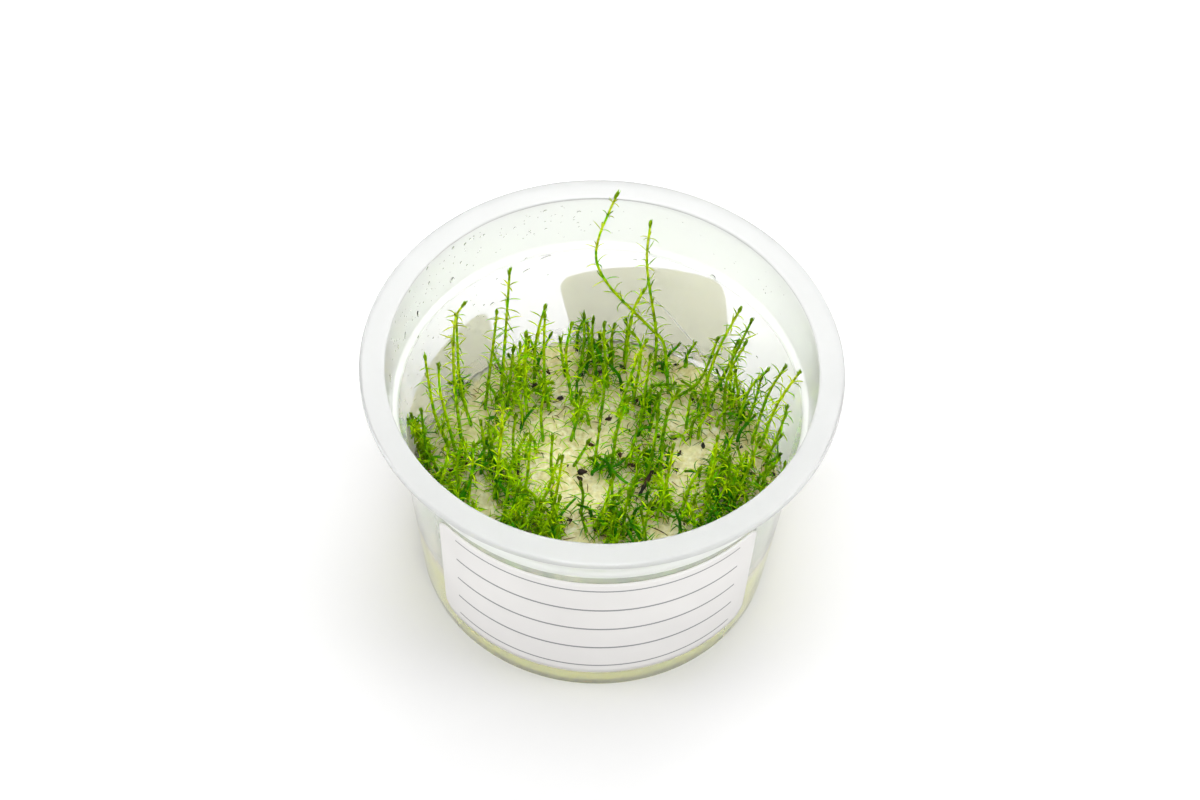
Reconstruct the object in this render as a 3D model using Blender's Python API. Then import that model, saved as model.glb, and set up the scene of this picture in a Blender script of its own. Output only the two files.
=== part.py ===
# Water milfoil raised in vitro: a clear cup with a flat rim, a layer of nutrient gel, three paper labels
# round the wall, and the shoots that stand in the gel. Metres, +Z up, origin at the middle of the cup's foot.

import math

import bmesh
import bpy
import numpy as np
from mathutils import Vector

MM = 0.001

# Cup, a thin-walled moulding turned about Z
CUP_SIDES = 56
CUP_HEIGHT = 64.3 * MM
RIM_RADIUS = 50.5 * MM
RIM_EDGE_DROP = 1.6 * MM
FLANGE_THICKNESS = 0.8 * MM
WALL = 0.6 * MM
MOUTH_RADIUS = 45.2 * MM
LEDGE_HEIGHT = 50.4 * MM
COLLAR_RADIUS = 44.6 * MM
WALL_TOP_RADIUS = 43.3 * MM
WALL_FOOT_RADIUS = 38.6 * MM
FOOT_RING = (33.0 * MM, 37.4 * MM)
FOOT_RECESS = 0.9 * MM
FLOOR_THICKNESS = 0.7 * MM

# Gel, poured to a level and set slightly lumpy
GEL_SIDES = 30
GEL_LEVEL = 20.0 * MM
GEL_RINGS = (0.24, 0.42, 0.60, 0.78, 0.93)
GEL_LUMP = 0.35 * MM
GEL_MENISCUS = 0.5 * MM
FIT_GAP = 0.3 * MM

# Paper labels: middle azimuth and height, width, height, and tilt on the wall
LABEL_THICKNESS = 0.2 * MM
LABEL_CORNER = 3.5 * MM
LABELS = {
    "label_front": {"azimuth": 271.0, "middle": 26.4 * MM, "size": (79.5 * MM, 40.2 * MM), "tilt": 0.0},
    "label_left": {"azimuth": 154.0, "middle": 24.6 * MM, "size": (40.0 * MM, 26.0 * MM), "tilt": 5.0},
    "label_back": {"azimuth": 74.8, "middle": 32.7 * MM, "size": (39.5 * MM, 26.0 * MM), "tilt": 13.0},
}

# Shoots
STEM_RADIUS = 0.48 * MM
TIP_RADIUS = 0.36 * MM
BUD_RADIUS = 0.60 * MM
BUD_LENGTH = 2.4 * MM
BUD_SHAPE = ((1.0, TIP_RADIUS), (0.6, BUD_RADIUS), (0.25, TIP_RADIUS))
NODE_HEIGHT = 0.5 * MM
LINE_STEPS = 50
WHORL_SPACING = 5.2 * MM
FIRST_WHORL = 3.0 * MM
WHORL_TWIST = 0.7
LEAF_LENGTH = 3.0 * MM
LEAF_RADIUS = 0.26 * MM
LEAF_SCALES = (1.0, 0.75, 0.5)
LEAF_RISE = (math.radians(12.0), math.radians(50.0))
SIDE_SHOOT_REACH = 3.9 * MM
SIDE_SHOOT_RISE = 6.0 * MM
CLEARANCE = 0.12 * MM

# The place of each shoot was read off the photograph: the foot on the gel, points on the way and the tip, as
# pixels of the 1200 x 800 picture, and how far the tip stands above the gel, in millimetres. The view below
# turns a pixel and a height into a place.
VIEW_PITCH = math.radians(53.03)
VIEW_ROLL = math.radians(2.51)
VIEW_DISTANCE = 600.0 * MM
VIEW_TARGET = Vector((-0.17 * MM, -9.76 * MM, CUP_HEIGHT))
FOCAL_PIXELS = 2917.5
PICTURE_MIDDLE = (600.0, 400.0)

SEEN_SHOOTS = (
    {"top": 33, "pixels": ((448, 445), (436, 418), (430, 390), (424.5, 353))},
    {"top": 28, "pixels": ((455, 449), (446, 415), (440, 390), (438.5, 362))},
    {"top": 48, "pixels": ((461, 437), (454, 375), (455, 322), (466, 301))},
    {"top": 40, "pixels": ((471, 424), (463, 398), (459, 372), (456, 312))},
    {"top": 36, "pixels": ((485, 408), (488, 385), (495, 330), (497, 308))},
    {"top": 46, "pixels": ((500, 402), (505, 340), (510, 267))},
    {"top": 22, "pixels": ((507, 409), (511, 370), (514, 345))},
    {"top": 21, "pixels": ((517, 398), (519, 365), (520.5, 341))},
    {"top": 29, "pixels": ((527, 412), (525, 385), (526, 330))},
    {"top": 33, "pixels": ((534, 388), (536, 342), (546, 303))},
    {"top": 26, "pixels": ((545, 400), (544, 350), (545, 312))},
    {"top": 29, "pixels": ((572, 403), (566, 355), (572.5, 321))},
    {"top": 21, "pixels": ((579, 372), (584, 340), (584, 311))},
    {"top": 20, "pixels": ((597, 377), (592, 345), (593.5, 316))},
    {"top": 22, "pixels": ((608, 386), (604, 340), (605, 320))},
    {"top": 51, "pixels": ((668, 388), (664, 345), (652, 330), (634, 312), (616, 294), (602, 275), (596, 257),
                           (599, 237), (607, 217), (619, 190))},
    {"top": 42, "pixels": ((654, 374), (656, 333), (647, 265), (651, 219))},
    {"top": 32, "pixels": ((624, 372), (632, 315), (646, 287))},
    {"top": 29, "pixels": ((617, 415), (636, 362), (648, 338))},
    {"top": 24, "pixels": ((633, 402), (641, 350), (630, 330))},
    {"top": 41, "pixels": ((698, 412), (716, 355), (742, 306))},
    {"top": 26, "pixels": ((676, 398), (700, 380), (719, 336))},
    {"top": 36, "pixels": ((710, 400), (732, 360), (753, 318))},
    {"top": 31, "pixels": ((724, 428), (727, 380), (748, 339))},
    {"top": 24, "pixels": ((729, 404), (733, 355), (740, 339))},
    {"top": 27, "pixels": ((735, 430), (750, 389), (770, 368))},
    {"top": 20, "pixels": ((747, 424), (756, 398), (762, 375))},
    {"top": 32, "pixels": ((752, 442), (768, 395), (787, 364))},
    {"top": 37, "pixels": ((760, 447), (777, 405), (801, 370))},
    {"top": 25, "pixels": ((766, 462), (780, 430), (788, 404))},
    {"top": 20, "pixels": ((662, 442), (668, 412), (680, 388))},
    {"top": 14, "pixels": ((686, 428), (690, 400), (693, 392))},
    {"top": 23, "pixels": ((429, 468), (423, 425), (421, 407))},
    {"top": 17, "pixels": ((553, 482), (551, 460), (553, 434))},
    {"top": 16, "pixels": ((571, 440), (577, 420), (583, 396))},
    {"top": 14, "pixels": ((594, 468), (597, 445), (600, 425))},
    {"top": 26, "pixels": ((612, 463), (618, 425), (627, 395))},
    {"top": 19, "pixels": ((594, 528), (605, 505), (612, 478))},
    {"top": 12, "pixels": ((581, 512), (583, 495), (580, 480))},
    {"top": 34, "pixels": ((494, 497), (500, 450), (503, 402))},
    {"top": 21, "pixels": ((468, 500), (472, 470), (474, 440))},
    {"top": 25, "pixels": ((523, 506), (528, 470), (531, 434))},
    {"top": 14, "pixels": ((508, 524), (514, 505), (519, 486))},
    {"top": 26, "pixels": ((548, 530), (556, 495), (563, 454))},
    {"top": 17, "pixels": ((623, 538), (625, 512), (630, 488))},
    {"top": 26, "pixels": ((656, 520), (667, 480), (674, 442))},
    {"top": 17, "pixels": ((681, 512), (690, 486), (702, 466))},
    {"top": 25, "pixels": ((706, 506), (713, 470), (718, 434))},
    {"top": 24, "pixels": ((733, 500), (748, 470), (760, 436))},
)

# The front of the gel is hidden behind the near side of the rim. Its shoots stand on a golden-angle spiral.
UNSEEN_SHOOTS = 6
UNSEEN_MIDDLE = (0.0, -26.0 * MM)
UNSEEN_SPREAD = (24.0 * MM, 8.5 * MM)
UNSEEN_TOPS = (15.0 * MM, 21.0 * MM)
GOLDEN_ANGLE = math.pi * (3.0 - math.sqrt(5.0))

COLOURS = {
    "polypropylene": (0.84, 0.85, 0.85, 1.0),
    "gel": (0.74, 0.70, 0.42, 1.0),
    "paper": (0.80, 0.80, 0.79, 1.0),
    "shoot": (0.17, 0.33, 0.04, 1.0),
}


def clear_scene():
    for item in list(bpy.data.objects):
        bpy.data.objects.remove(item, do_unlink=True)


def make_material(name, roughness):
    material = bpy.data.materials.new(name)
    material.use_nodes = True
    shader = material.node_tree.nodes["Principled BSDF"]
    shader.inputs["Base Color"].default_value = COLOURS[name]
    shader.inputs["Roughness"].default_value = roughness
    shader.inputs["Metallic"].default_value = 0.0
    material.diffuse_color = COLOURS[name]
    return material


def add_object(name, vertices, faces, material, smooth_angle=None):
    """One closed body in an object of its own, with every face cut into triangles."""
    mesh = bpy.data.meshes.new(name)
    mesh.from_pydata([tuple(v) for v in vertices], [], faces)
    work = bmesh.new()
    work.from_mesh(mesh)
    bmesh.ops.triangulate(work, faces=work.faces)
    work.to_mesh(mesh)
    work.free()
    mesh.materials.append(material)
    if smooth_angle is not None:
        mesh.shade_smooth()
        mesh.set_sharp_from_angle(angle=smooth_angle)
    item = bpy.data.objects.new(name, mesh)
    bpy.context.scene.collection.objects.link(item)
    return item


# Cup

def outer_radius(z):
    """Outside of the tapered wall at height z."""
    return WALL_FOOT_RADIUS + (WALL_TOP_RADIUS - WALL_FOOT_RADIUS) * z / LEDGE_HEIGHT


def inner_radius(z):
    """Inside of the cup at height z, in the tapered wall or in the collar above the ledge."""
    if z < LEDGE_HEIGHT:
        return outer_radius(z) - WALL
    rise = (z - LEDGE_HEIGHT) / (CUP_HEIGHT - LEDGE_HEIGHT)
    return COLLAR_RADIUS - WALL + (MOUTH_RADIUS - COLLAR_RADIUS) * rise


def cup_profile():
    """Radius and height along the wall: out under the foot, up the outside, over the rim and down inside."""
    ring_in, ring_out = FOOT_RING
    floor_top = FOOT_RECESS + FLOOR_THICKNESS
    edge_low = CUP_HEIGHT - RIM_EDGE_DROP
    under_flange = CUP_HEIGHT - FLANGE_THICKNESS
    return (
        (0.0, FOOT_RECESS),
        (ring_in - FOOT_RECESS, FOOT_RECESS),
        (ring_in, 0.0),
        (ring_out, 0.0),
        (outer_radius(0.4 * MM) - 0.3 * MM, 0.4 * MM),
        (outer_radius(1.4 * MM), 1.4 * MM),
        (outer_radius(LEDGE_HEIGHT), LEDGE_HEIGHT - WALL),
        (COLLAR_RADIUS - 0.2 * MM, LEDGE_HEIGHT - 0.1 * MM),
        (COLLAR_RADIUS, LEDGE_HEIGHT + 0.5 * MM),
        (MOUTH_RADIUS, under_flange),
        (RIM_RADIUS - WALL, under_flange),
        (RIM_RADIUS - WALL + 0.1 * MM, edge_low),
        (RIM_RADIUS, edge_low),
        (RIM_RADIUS, CUP_HEIGHT - 0.4 * MM),
        (RIM_RADIUS - 0.4 * MM, CUP_HEIGHT),
        (MOUTH_RADIUS + 0.3 * MM, CUP_HEIGHT),
        (MOUTH_RADIUS - 0.3 * MM, CUP_HEIGHT - 0.5 * MM),
        (COLLAR_RADIUS - WALL, LEDGE_HEIGHT + 0.8 * MM),
        (inner_radius(LEDGE_HEIGHT - 0.1 * MM), LEDGE_HEIGHT),
        (inner_radius(floor_top) - 0.1 * MM, floor_top + 0.8 * MM),
        (inner_radius(floor_top) - 0.9 * MM, floor_top),
        (0.0, floor_top),
    )


def turn_profile(profile, sides, first_angle=0.0):
    """Vertices and faces of a closed profile turned about Z. Its first and last points lie on the axis."""
    angles = [first_angle + 2.0 * math.pi * k / sides for k in range(sides)]
    vertices = [Vector((0.0, 0.0, profile[0][1]))]
    for radius, z in profile[1:-1]:
        vertices += [Vector((radius * math.cos(a), radius * math.sin(a), z)) for a in angles]
    last = len(vertices)
    vertices.append(Vector((0.0, 0.0, profile[-1][1])))
    faces = []
    rows = len(profile) - 2
    for k in range(sides):
        nxt = (k + 1) % sides
        faces.append((0, 1 + nxt, 1 + k))
        for row in range(rows - 1):
            low = 1 + row * sides
            high = low + sides
            faces.append((low + k, low + nxt, high + nxt, high + k))
        top = 1 + (rows - 1) * sides
        faces.append((top + k, top + nxt, last))
    return vertices, faces


def build_cup():
    half_side = math.pi / CUP_SIDES  # a flat side, not an edge, faces +X
    vertices, faces = turn_profile(cup_profile(), CUP_SIDES, half_side)
    material = make_material("polypropylene", 0.2)
    return add_object("cup", vertices, faces, material, math.radians(28.0))


# Gel

def gel_top(x, y):
    """Height of the gel's lumpy top, the sum of two crossed ripples."""
    long_ripple = math.sin(x / (5.3 * MM) + 0.6) * math.cos(y / (4.7 * MM) - 0.4)
    cross_ripple = math.sin((x + y) / (8.1 * MM) + 1.9)
    return GEL_LEVEL + GEL_LUMP * (0.6 * long_ripple + 0.4 * cross_ripple)


def build_gel():
    bottom = FOOT_RECESS + FLOOR_THICKNESS + FIT_GAP
    edge_z = GEL_LEVEL + GEL_MENISCUS
    edge = inner_radius(edge_z) - FIT_GAP
    profile = [(0.0, bottom), (inner_radius(bottom) - 1.6 * MM, bottom)]
    profile.append((inner_radius(bottom + 1.4 * MM) - FIT_GAP, bottom + 1.4 * MM))
    profile.append((edge, edge_z))
    profile += [(edge * share, GEL_LEVEL) for share in reversed(GEL_RINGS)]
    profile.append((0.0, GEL_LEVEL))
    vertices, faces = turn_profile(profile, GEL_SIDES)
    for v in vertices:
        if abs(v.z - GEL_LEVEL) < 0.001 * MM:
            v.z = gel_top(v.x, v.y)
    return add_object("gel", vertices, faces, make_material("gel", 0.35), math.radians(35.0))


# Labels

def label_columns(width, height):
    """Distance along the label and half its height there. The corners are round."""
    reach = width / 2.0
    steps = max(2, round((width - 2.0 * LABEL_CORNER) / (6.0 * MM)))
    along = [-reach, -reach + 0.3 * LABEL_CORNER]
    along += [-reach + LABEL_CORNER + (width - 2.0 * LABEL_CORNER) * k / steps for k in range(steps + 1)]
    along += [reach - 0.3 * LABEL_CORNER, reach]
    columns = []
    for u in along:
        into_corner = max(0.0, LABEL_CORNER - (reach - abs(u)))
        drop = LABEL_CORNER - math.sqrt(LABEL_CORNER ** 2 - into_corner ** 2)
        columns.append((u, height / 2.0 - drop))
    return columns


def build_label(name, azimuth, middle, size, tilt, material):
    rows = 2
    cos_tilt = math.cos(math.radians(tilt))
    sin_tilt = math.sin(math.radians(tilt))
    vertices = []
    columns = label_columns(*size)
    for offset in (FIT_GAP, FIT_GAP + LABEL_THICKNESS):
        for u, half in columns:
            for row in range(rows + 1):
                v = -half + 2.0 * half * row / rows
                around = u * cos_tilt - v * sin_tilt
                z = middle + u * sin_tilt + v * cos_tilt
                radius = outer_radius(z) + offset
                angle = math.radians(azimuth) - around / outer_radius(z)
                vertices.append(Vector((radius * math.cos(angle), radius * math.sin(angle), z)))
    count = len(columns)
    stride = rows + 1
    sheet = count * stride
    faces = []
    for c in range(count - 1):
        for row in range(rows):
            a = c * stride + row
            inner = (a, a + stride, a + stride + 1, a + 1)
            faces.append(inner)
            faces.append(tuple(sheet + i for i in reversed(inner)))
    rim = [c * stride for c in range(count)]
    rim += [(count - 1) * stride + row for row in range(1, rows + 1)]
    rim += [c * stride + rows for c in range(count - 2, -1, -1)]
    rim += [row for row in range(rows - 1, 0, -1)]
    for here, there in zip(rim, rim[1:] + rim[:1]):
        faces.append((there, here, sheet + here, sheet + there))
    return add_object(name, vertices, faces, material)


# Shoots

def view_axes():
    """Right, up and forward of the picture, the picture being rolled a little clockwise."""
    forward = Vector((0.0, math.cos(VIEW_PITCH), -math.sin(VIEW_PITCH)))
    right = Vector((1.0, 0.0, 0.0))
    up = right.cross(forward)
    rolled_right = math.cos(VIEW_ROLL) * right + math.sin(VIEW_ROLL) * up
    rolled_up = -math.sin(VIEW_ROLL) * right + math.cos(VIEW_ROLL) * up
    return rolled_right, rolled_up, forward


def place(pixel, z):
    """The point at height z that the picture shows at a pixel."""
    right, up, forward = view_axes()
    across = (pixel[0] - PICTURE_MIDDLE[0]) / FOCAL_PIXELS
    down = (pixel[1] - PICTURE_MIDDLE[1]) / FOCAL_PIXELS
    ray = forward + across * right - down * up
    eye = VIEW_TARGET - VIEW_DISTANCE * forward
    return eye + ray * ((z - eye.z) / ray.z)


def seat(x, y):
    """Height at which a shoot's foot stands clear of the gel."""
    return gel_top(x, y) + FIT_GAP


def seen_path(pixels, top):
    """Points of a shoot from its pixels. A point's height is its share of the way along the pixels."""
    steps = [0.0]
    for before, after in zip(pixels, pixels[1:]):
        steps.append(steps[-1] + math.hypot(after[0] - before[0], after[1] - before[1]))
    foot = place(pixels[0], GEL_LEVEL + FIT_GAP)
    foot.z = seat(foot.x, foot.y)
    points = [foot]
    for pixel, step in zip(pixels[1:], steps[1:]):
        points.append(place(pixel, foot.z + top * MM * step / steps[-1]))
    return points


def unseen_path(index):
    """Points of a shoot in the hidden front of the gel: upright with a small sway."""
    turn = GOLDEN_ANGLE * index
    reach = math.sqrt((index + 0.5) / UNSEEN_SHOOTS)
    x = UNSEEN_MIDDLE[0] + UNSEEN_SPREAD[0] * reach * math.cos(turn)
    y = UNSEEN_MIDDLE[1] + UNSEEN_SPREAD[1] * reach * math.sin(turn)
    foot = Vector((x, y, seat(x, y)))
    low, high = UNSEEN_TOPS
    top = low + (high - low) * (0.5 + 0.5 * math.sin(2.0 * turn))
    sway = Vector((math.cos(3.0 * turn), math.sin(3.0 * turn), 0.0))
    middle = foot + Vector((0.0, 0.0, 0.5 * top)) + 0.4 * MM * sway
    tip = foot + Vector((0.0, 0.0, top)) + 2.0 * MM * sway
    return [foot, middle, tip]


def smooth_line(points):
    """About fifty points on a Catmull-Rom curve through the given points."""
    padded = [2.0 * points[0] - points[1]] + list(points) + [2.0 * points[-1] - points[-2]]
    line = []
    pieces = len(points) - 1
    per_piece = max(4, round(LINE_STEPS / pieces))
    for k in range(pieces):
        a, b, c, d = padded[k:k + 4]
        for j in range(per_piece):
            t = j / per_piece
            line.append(0.5 * (2.0 * b + (c - a) * t + (2.0 * a - 5.0 * b + 4.0 * c - d) * t ** 2
                               + (3.0 * b - a - 3.0 * c + d) * t ** 3))
    line.append(points[-1].copy())
    return line


def along(line, distance):
    """The point on a line at a distance from its start, and the line's direction there."""
    left = distance
    for before, after in zip(line, line[1:]):
        step = (after - before).length
        if left <= step or after is line[-1]:
            direction = (after - before).normalized()
            return before + direction * left, direction
        left -= step


def line_length(line):
    return sum((after - before).length for before, after in zip(line, line[1:]))


class Room:
    """The stems and leaves placed so far, each a straight piece with a radius and an owner."""

    def __init__(self):
        self.starts = np.zeros((0, 3))
        self.ends = np.zeros((0, 3))
        self.radii = np.zeros(0)
        self.owners = np.zeros(0, dtype=int)

    def add(self, start, end, radius, owner):
        self.starts = np.vstack([self.starts, np.array(start)])
        self.ends = np.vstack([self.ends, np.array(end)])
        self.radii = np.append(self.radii, radius)
        self.owners = np.append(self.owners, owner)

    def gap(self, start, end, radius, owner):
        """Least space between a new piece and the pieces of other owners, sampled along the new one."""
        others = self.owners != owner
        if not others.any():
            return 1.0
        starts, ends = self.starts[others], self.ends[others]
        spans = ends - starts
        lengths = np.maximum((spans ** 2).sum(axis=1), 1e-12)
        least = 1.0
        for share in np.linspace(0.0, 1.0, 9):
            point = np.array(start) * (1.0 - share) + np.array(end) * share
            where = np.clip(((point - starts) * spans).sum(axis=1) / lengths, 0.0, 1.0)
            away = np.linalg.norm(point - starts - spans * where[:, None], axis=1)
            least = min(least, (away - self.radii[others] - radius).min())
        return least


def inside_cup(point, margin):
    """Whether a point keeps a margin to the cup's wall and to the gel."""
    reach = math.hypot(point.x, point.y)
    clear_of_wall = point.z > CUP_HEIGHT or reach + margin < inner_radius(point.z) - 0.1 * MM
    under_rim_edge = point.z > CUP_HEIGHT + margin or reach + margin < MOUTH_RADIUS - 0.6 * MM
    return clear_of_wall and under_rim_edge and point.z - margin > gel_top(point.x, point.y)


def whorl_distances(length):
    """Distances of the whorls along a stem. They stop short of the bud."""
    count = max(1, int((length - FIRST_WHORL - BUD_LENGTH) / WHORL_SPACING) + 1)
    spacing = (length - FIRST_WHORL - BUD_LENGTH - 0.6 * MM) / max(1, count)
    return [FIRST_WHORL + spacing * k for k in range(count)]


def add_ring(vertices, centre, across, over, radius, turn, sides):
    first = len(vertices)
    for k in range(sides):
        a = turn + 2.0 * math.pi * k / sides
        vertices.append(centre + radius * (math.cos(a) * across + math.sin(a) * over))
    return list(range(first, first + sides))


def join_rings(faces, low, high, tips=(), opening=None):
    """Faces between two rings. A side with a tip becomes a pyramid. Returns the corners of the open side."""
    sides = len(low)
    tips = dict(tips)
    open_corners = None
    for k in range(sides):
        corners = (low[k], low[(k + 1) % sides], high[(k + 1) % sides], high[k])
        if k == opening:
            open_corners = corners
        elif k in tips:
            faces += [(corners[j], corners[(j + 1) % 4], tips[k]) for j in range(4)]
        else:
            faces.append(corners)
    return open_corners


def cross_axes(direction, hint):
    across = (hint - direction * hint.dot(direction)).normalized()
    return across, direction.cross(across)


def stem_radius(share):
    return STEM_RADIUS + (TIP_RADIUS - STEM_RADIUS) * share


def side_direction(direction, across, turn, side):
    """Outward direction from the middle of one of a stem's three sides."""
    over = direction.cross(across)
    middle = turn + 2.0 * math.pi * (side + 0.5) / 3.0
    return math.cos(middle) * across + math.sin(middle) * over


def choose_leaves(room, owner, line, phase, side_shoot):
    """Tips of the leaves that have room, by whorl and side. A crowded leaf is shorter, or left out."""
    taken = (0, side_shoot[0]) if side_shoot else None
    length = line_length(line)
    chosen = {}
    hint = Vector((1.0, 0.0, 0.0))
    for whorl, distance in enumerate(whorl_distances(length)):
        node, direction = along(line, distance)
        hint, over = cross_axes(direction, hint)
        share = distance / length
        rise = LEAF_RISE[0] + (LEAF_RISE[1] - LEAF_RISE[0]) * share ** 2
        for side in range(3):
            if (whorl, side) == taken:
                continue
            outward = side_direction(direction, hint, phase + WHORL_TWIST * whorl, side)
            base = node + outward * stem_radius(share)
            for scale in LEAF_SCALES:
                tip = node + scale * LEAF_LENGTH * (math.cos(rise) * outward + math.sin(rise) * direction)
                fits = inside_cup(tip, 0.25 * MM) and room.gap(base, tip, LEAF_RADIUS, owner) > CLEARANCE
                if fits:
                    chosen[(whorl, side)] = tip
                    room.add(base, tip, LEAF_RADIUS, owner)
                    break
    return chosen


def side_shoot_line(room, owner, line, phase):
    """Centre line of a side shoot near the foot of a stem, on the first side that has room, or None."""
    node, direction = along(line, FIRST_WHORL)
    across, over = cross_axes(direction, Vector((1.0, 0.0, 0.0)))
    for side in range(3):
        outward = side_direction(direction, across, phase, side)
        points = []
        for share in (0.0, 0.5, 1.0):
            out = SIDE_SHOOT_REACH * math.sin(0.5 * math.pi * share)
            points.append(node + outward * (NODE_HEIGHT + out) + direction * SIDE_SHOOT_RISE * share ** 1.4)
        pairs = list(zip(points, points[1:]))
        if not all(inside_cup(point, 0.6 * MM) for point in points):
            continue
        if min(room.gap(a, b, TIP_RADIUS, owner) for a, b in pairs) < CLEARANCE:
            continue
        for a, b in pairs:
            room.add(a, b, TIP_RADIUS, owner)
        return side, points
    return None


def add_tip(vertices, faces, ring, point):
    """Faces from a ring to the point that closes it."""
    tip = len(vertices)
    vertices.append(point)
    faces += [(ring[k], ring[(k + 1) % len(ring)], tip) for k in range(len(ring))]


def add_side_shoot(vertices, faces, corners, points):
    """A four-sided side shoot out of one side of a stem's node, with a pair of leaves half way."""
    foot, middle, tip = points
    level = (vertices[corners[1]] - vertices[corners[0]]).normalized()
    heading = (tip - foot).normalized()
    over = heading.cross(level)
    turn = -0.75 * math.pi  # the ring's first corner faces the first of the opening's corners
    lift = 0.5 * NODE_HEIGHT * heading
    low = add_ring(vertices, middle - lift, level, over, TIP_RADIUS, turn, 4)
    high = add_ring(vertices, middle + lift, level, over, TIP_RADIUS, turn, 4)
    leaves = {}
    for side, sign in ((1, 1.0), (3, -1.0)):
        leaves[side] = len(vertices)
        vertices.append(middle + LEAF_LENGTH * (0.55 * sign * level + 0.2 * heading))
    join_rings(faces, corners, low)
    join_rings(faces, low, high, leaves)
    add_tip(vertices, faces, high, tip)


def build_shoot(name, line, leaves, side_shoot, phase, material):
    """A three-sided stem with a ring pair at each whorl, its leaves as pyramids, and a swollen tip bud."""
    length = line_length(line)
    vertices = []
    faces = []
    across, over = Vector((1.0, 0.0, 0.0)), Vector((0.0, 1.0, 0.0))
    ring = add_ring(vertices, line[0], across, over, STEM_RADIUS, phase, 3)
    faces.append(tuple(reversed(ring)))
    for whorl, distance in enumerate(whorl_distances(length)):
        node, direction = along(line, distance)
        across, over = cross_axes(direction, across)
        turn = phase + WHORL_TWIST * whorl
        radius = stem_radius(distance / length)
        low = add_ring(vertices, node - 0.5 * NODE_HEIGHT * direction, across, over, radius, turn, 3)
        high = add_ring(vertices, node + 0.5 * NODE_HEIGHT * direction, across, over, radius, turn, 3)
        tips = {}
        for side in range(3):
            if (whorl, side) in leaves:
                tips[side] = len(vertices)
                vertices.append(leaves[(whorl, side)])
        join_rings(faces, ring, low)
        opening = side_shoot[0] if side_shoot and whorl == 0 else None
        corners = join_rings(faces, low, high, tips, opening)
        if corners:
            add_side_shoot(vertices, faces, corners, side_shoot[1])
        ring = high
    for share, radius in BUD_SHAPE:
        centre, direction = along(line, length - share * BUD_LENGTH)
        across, over = cross_axes(direction, across)
        new_ring = add_ring(vertices, centre, across, over, radius, turn, 3)
        join_rings(faces, ring, new_ring)
        ring = new_ring
    add_tip(vertices, faces, ring, line[-1])
    return add_object(name, vertices, faces, material)


def stem_marks(line):
    """About a dozen points along a stem, enough for the test of what lies near it."""
    marks = line[:-1:max(1, len(line) // 12)]
    return marks + [line[-1]]


def build_shoots():
    lines = [smooth_line(seen_path(shoot["pixels"], shoot["top"])) for shoot in SEEN_SHOOTS]
    lines += [smooth_line(unseen_path(k)) for k in range(UNSEEN_SHOOTS)]
    phases = [GOLDEN_ANGLE * owner for owner in range(len(lines))]
    room = Room()
    for owner, line in enumerate(lines):
        marks = stem_marks(line)
        for a, b in zip(marks, marks[1:]):
            room.add(a, b, STEM_RADIUS, owner)
    side_shoots = [side_shoot_line(room, owner, line, phases[owner]) for owner, line in enumerate(lines)]
    material = make_material("shoot", 0.55)
    for owner, line in enumerate(lines):
        leaves = choose_leaves(room, owner, line, phases[owner], side_shoots[owner])
        name = "shoot_%02d" % (owner + 1)
        build_shoot(name, line, leaves, side_shoots[owner], phases[owner], material)


def main():
    clear_scene()
    build_cup()
    build_gel()
    paper = make_material("paper", 0.75)
    for name, label in LABELS.items():
        build_label(name, material=paper, **label)
    build_shoots()


main()
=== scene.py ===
import math

import bpy
import numpy as np
from mathutils import Matrix


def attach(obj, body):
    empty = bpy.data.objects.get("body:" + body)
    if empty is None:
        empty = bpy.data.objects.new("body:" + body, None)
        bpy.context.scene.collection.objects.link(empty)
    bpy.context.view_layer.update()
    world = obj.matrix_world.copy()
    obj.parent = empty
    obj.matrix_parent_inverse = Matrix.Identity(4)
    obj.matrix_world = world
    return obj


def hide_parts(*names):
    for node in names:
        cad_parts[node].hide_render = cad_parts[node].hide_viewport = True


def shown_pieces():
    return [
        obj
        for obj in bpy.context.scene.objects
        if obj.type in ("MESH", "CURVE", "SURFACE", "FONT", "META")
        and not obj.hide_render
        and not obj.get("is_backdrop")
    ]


# Water milfoil raised in vitro: a clear cup, nutrient gel, paper labels and the shoots. The dictionaries are in
# millimetres and degrees, and a mesh is turned into metres as it is made.
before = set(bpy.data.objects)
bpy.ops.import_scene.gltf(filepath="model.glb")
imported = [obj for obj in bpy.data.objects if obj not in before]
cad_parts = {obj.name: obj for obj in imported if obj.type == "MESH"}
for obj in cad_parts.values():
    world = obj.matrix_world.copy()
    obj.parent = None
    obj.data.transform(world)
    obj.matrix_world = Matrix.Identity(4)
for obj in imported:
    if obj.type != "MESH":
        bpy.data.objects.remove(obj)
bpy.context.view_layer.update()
mm = 0.001
goldenAngle = math.pi * (3.0 - math.sqrt(5.0))
upright = np.array([0.0, 0.0, 1.0])
print("frame loaded:", len(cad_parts), "nodes")


# sRGB hex to linear light: c / 12.92 where dark, ((c + 0.055) / 1.055) ^ 2.4 elsewhere.
def linearColour(hexText):
    channels = np.array([int(hexText[i:i + 2], 16) for i in (1, 3, 5)]) / 255.0
    linear = np.where(channels <= 0.04045, channels / 12.92, ((channels + 0.055) / 1.055) ** 2.4)
    return (*linear.tolist(), 1.0)


# Sets a node's inputs. Each is a value, a hex colour or the socket that feeds it.
def setInputs(tree, node, inputs):
    for socket, value in inputs.items():
        if isinstance(value, bpy.types.NodeSocket):
            tree.links.new(value, node.inputs[socket])
        else:
            node.inputs[socket].default_value = linearColour(value) if isinstance(value, str) else value


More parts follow.
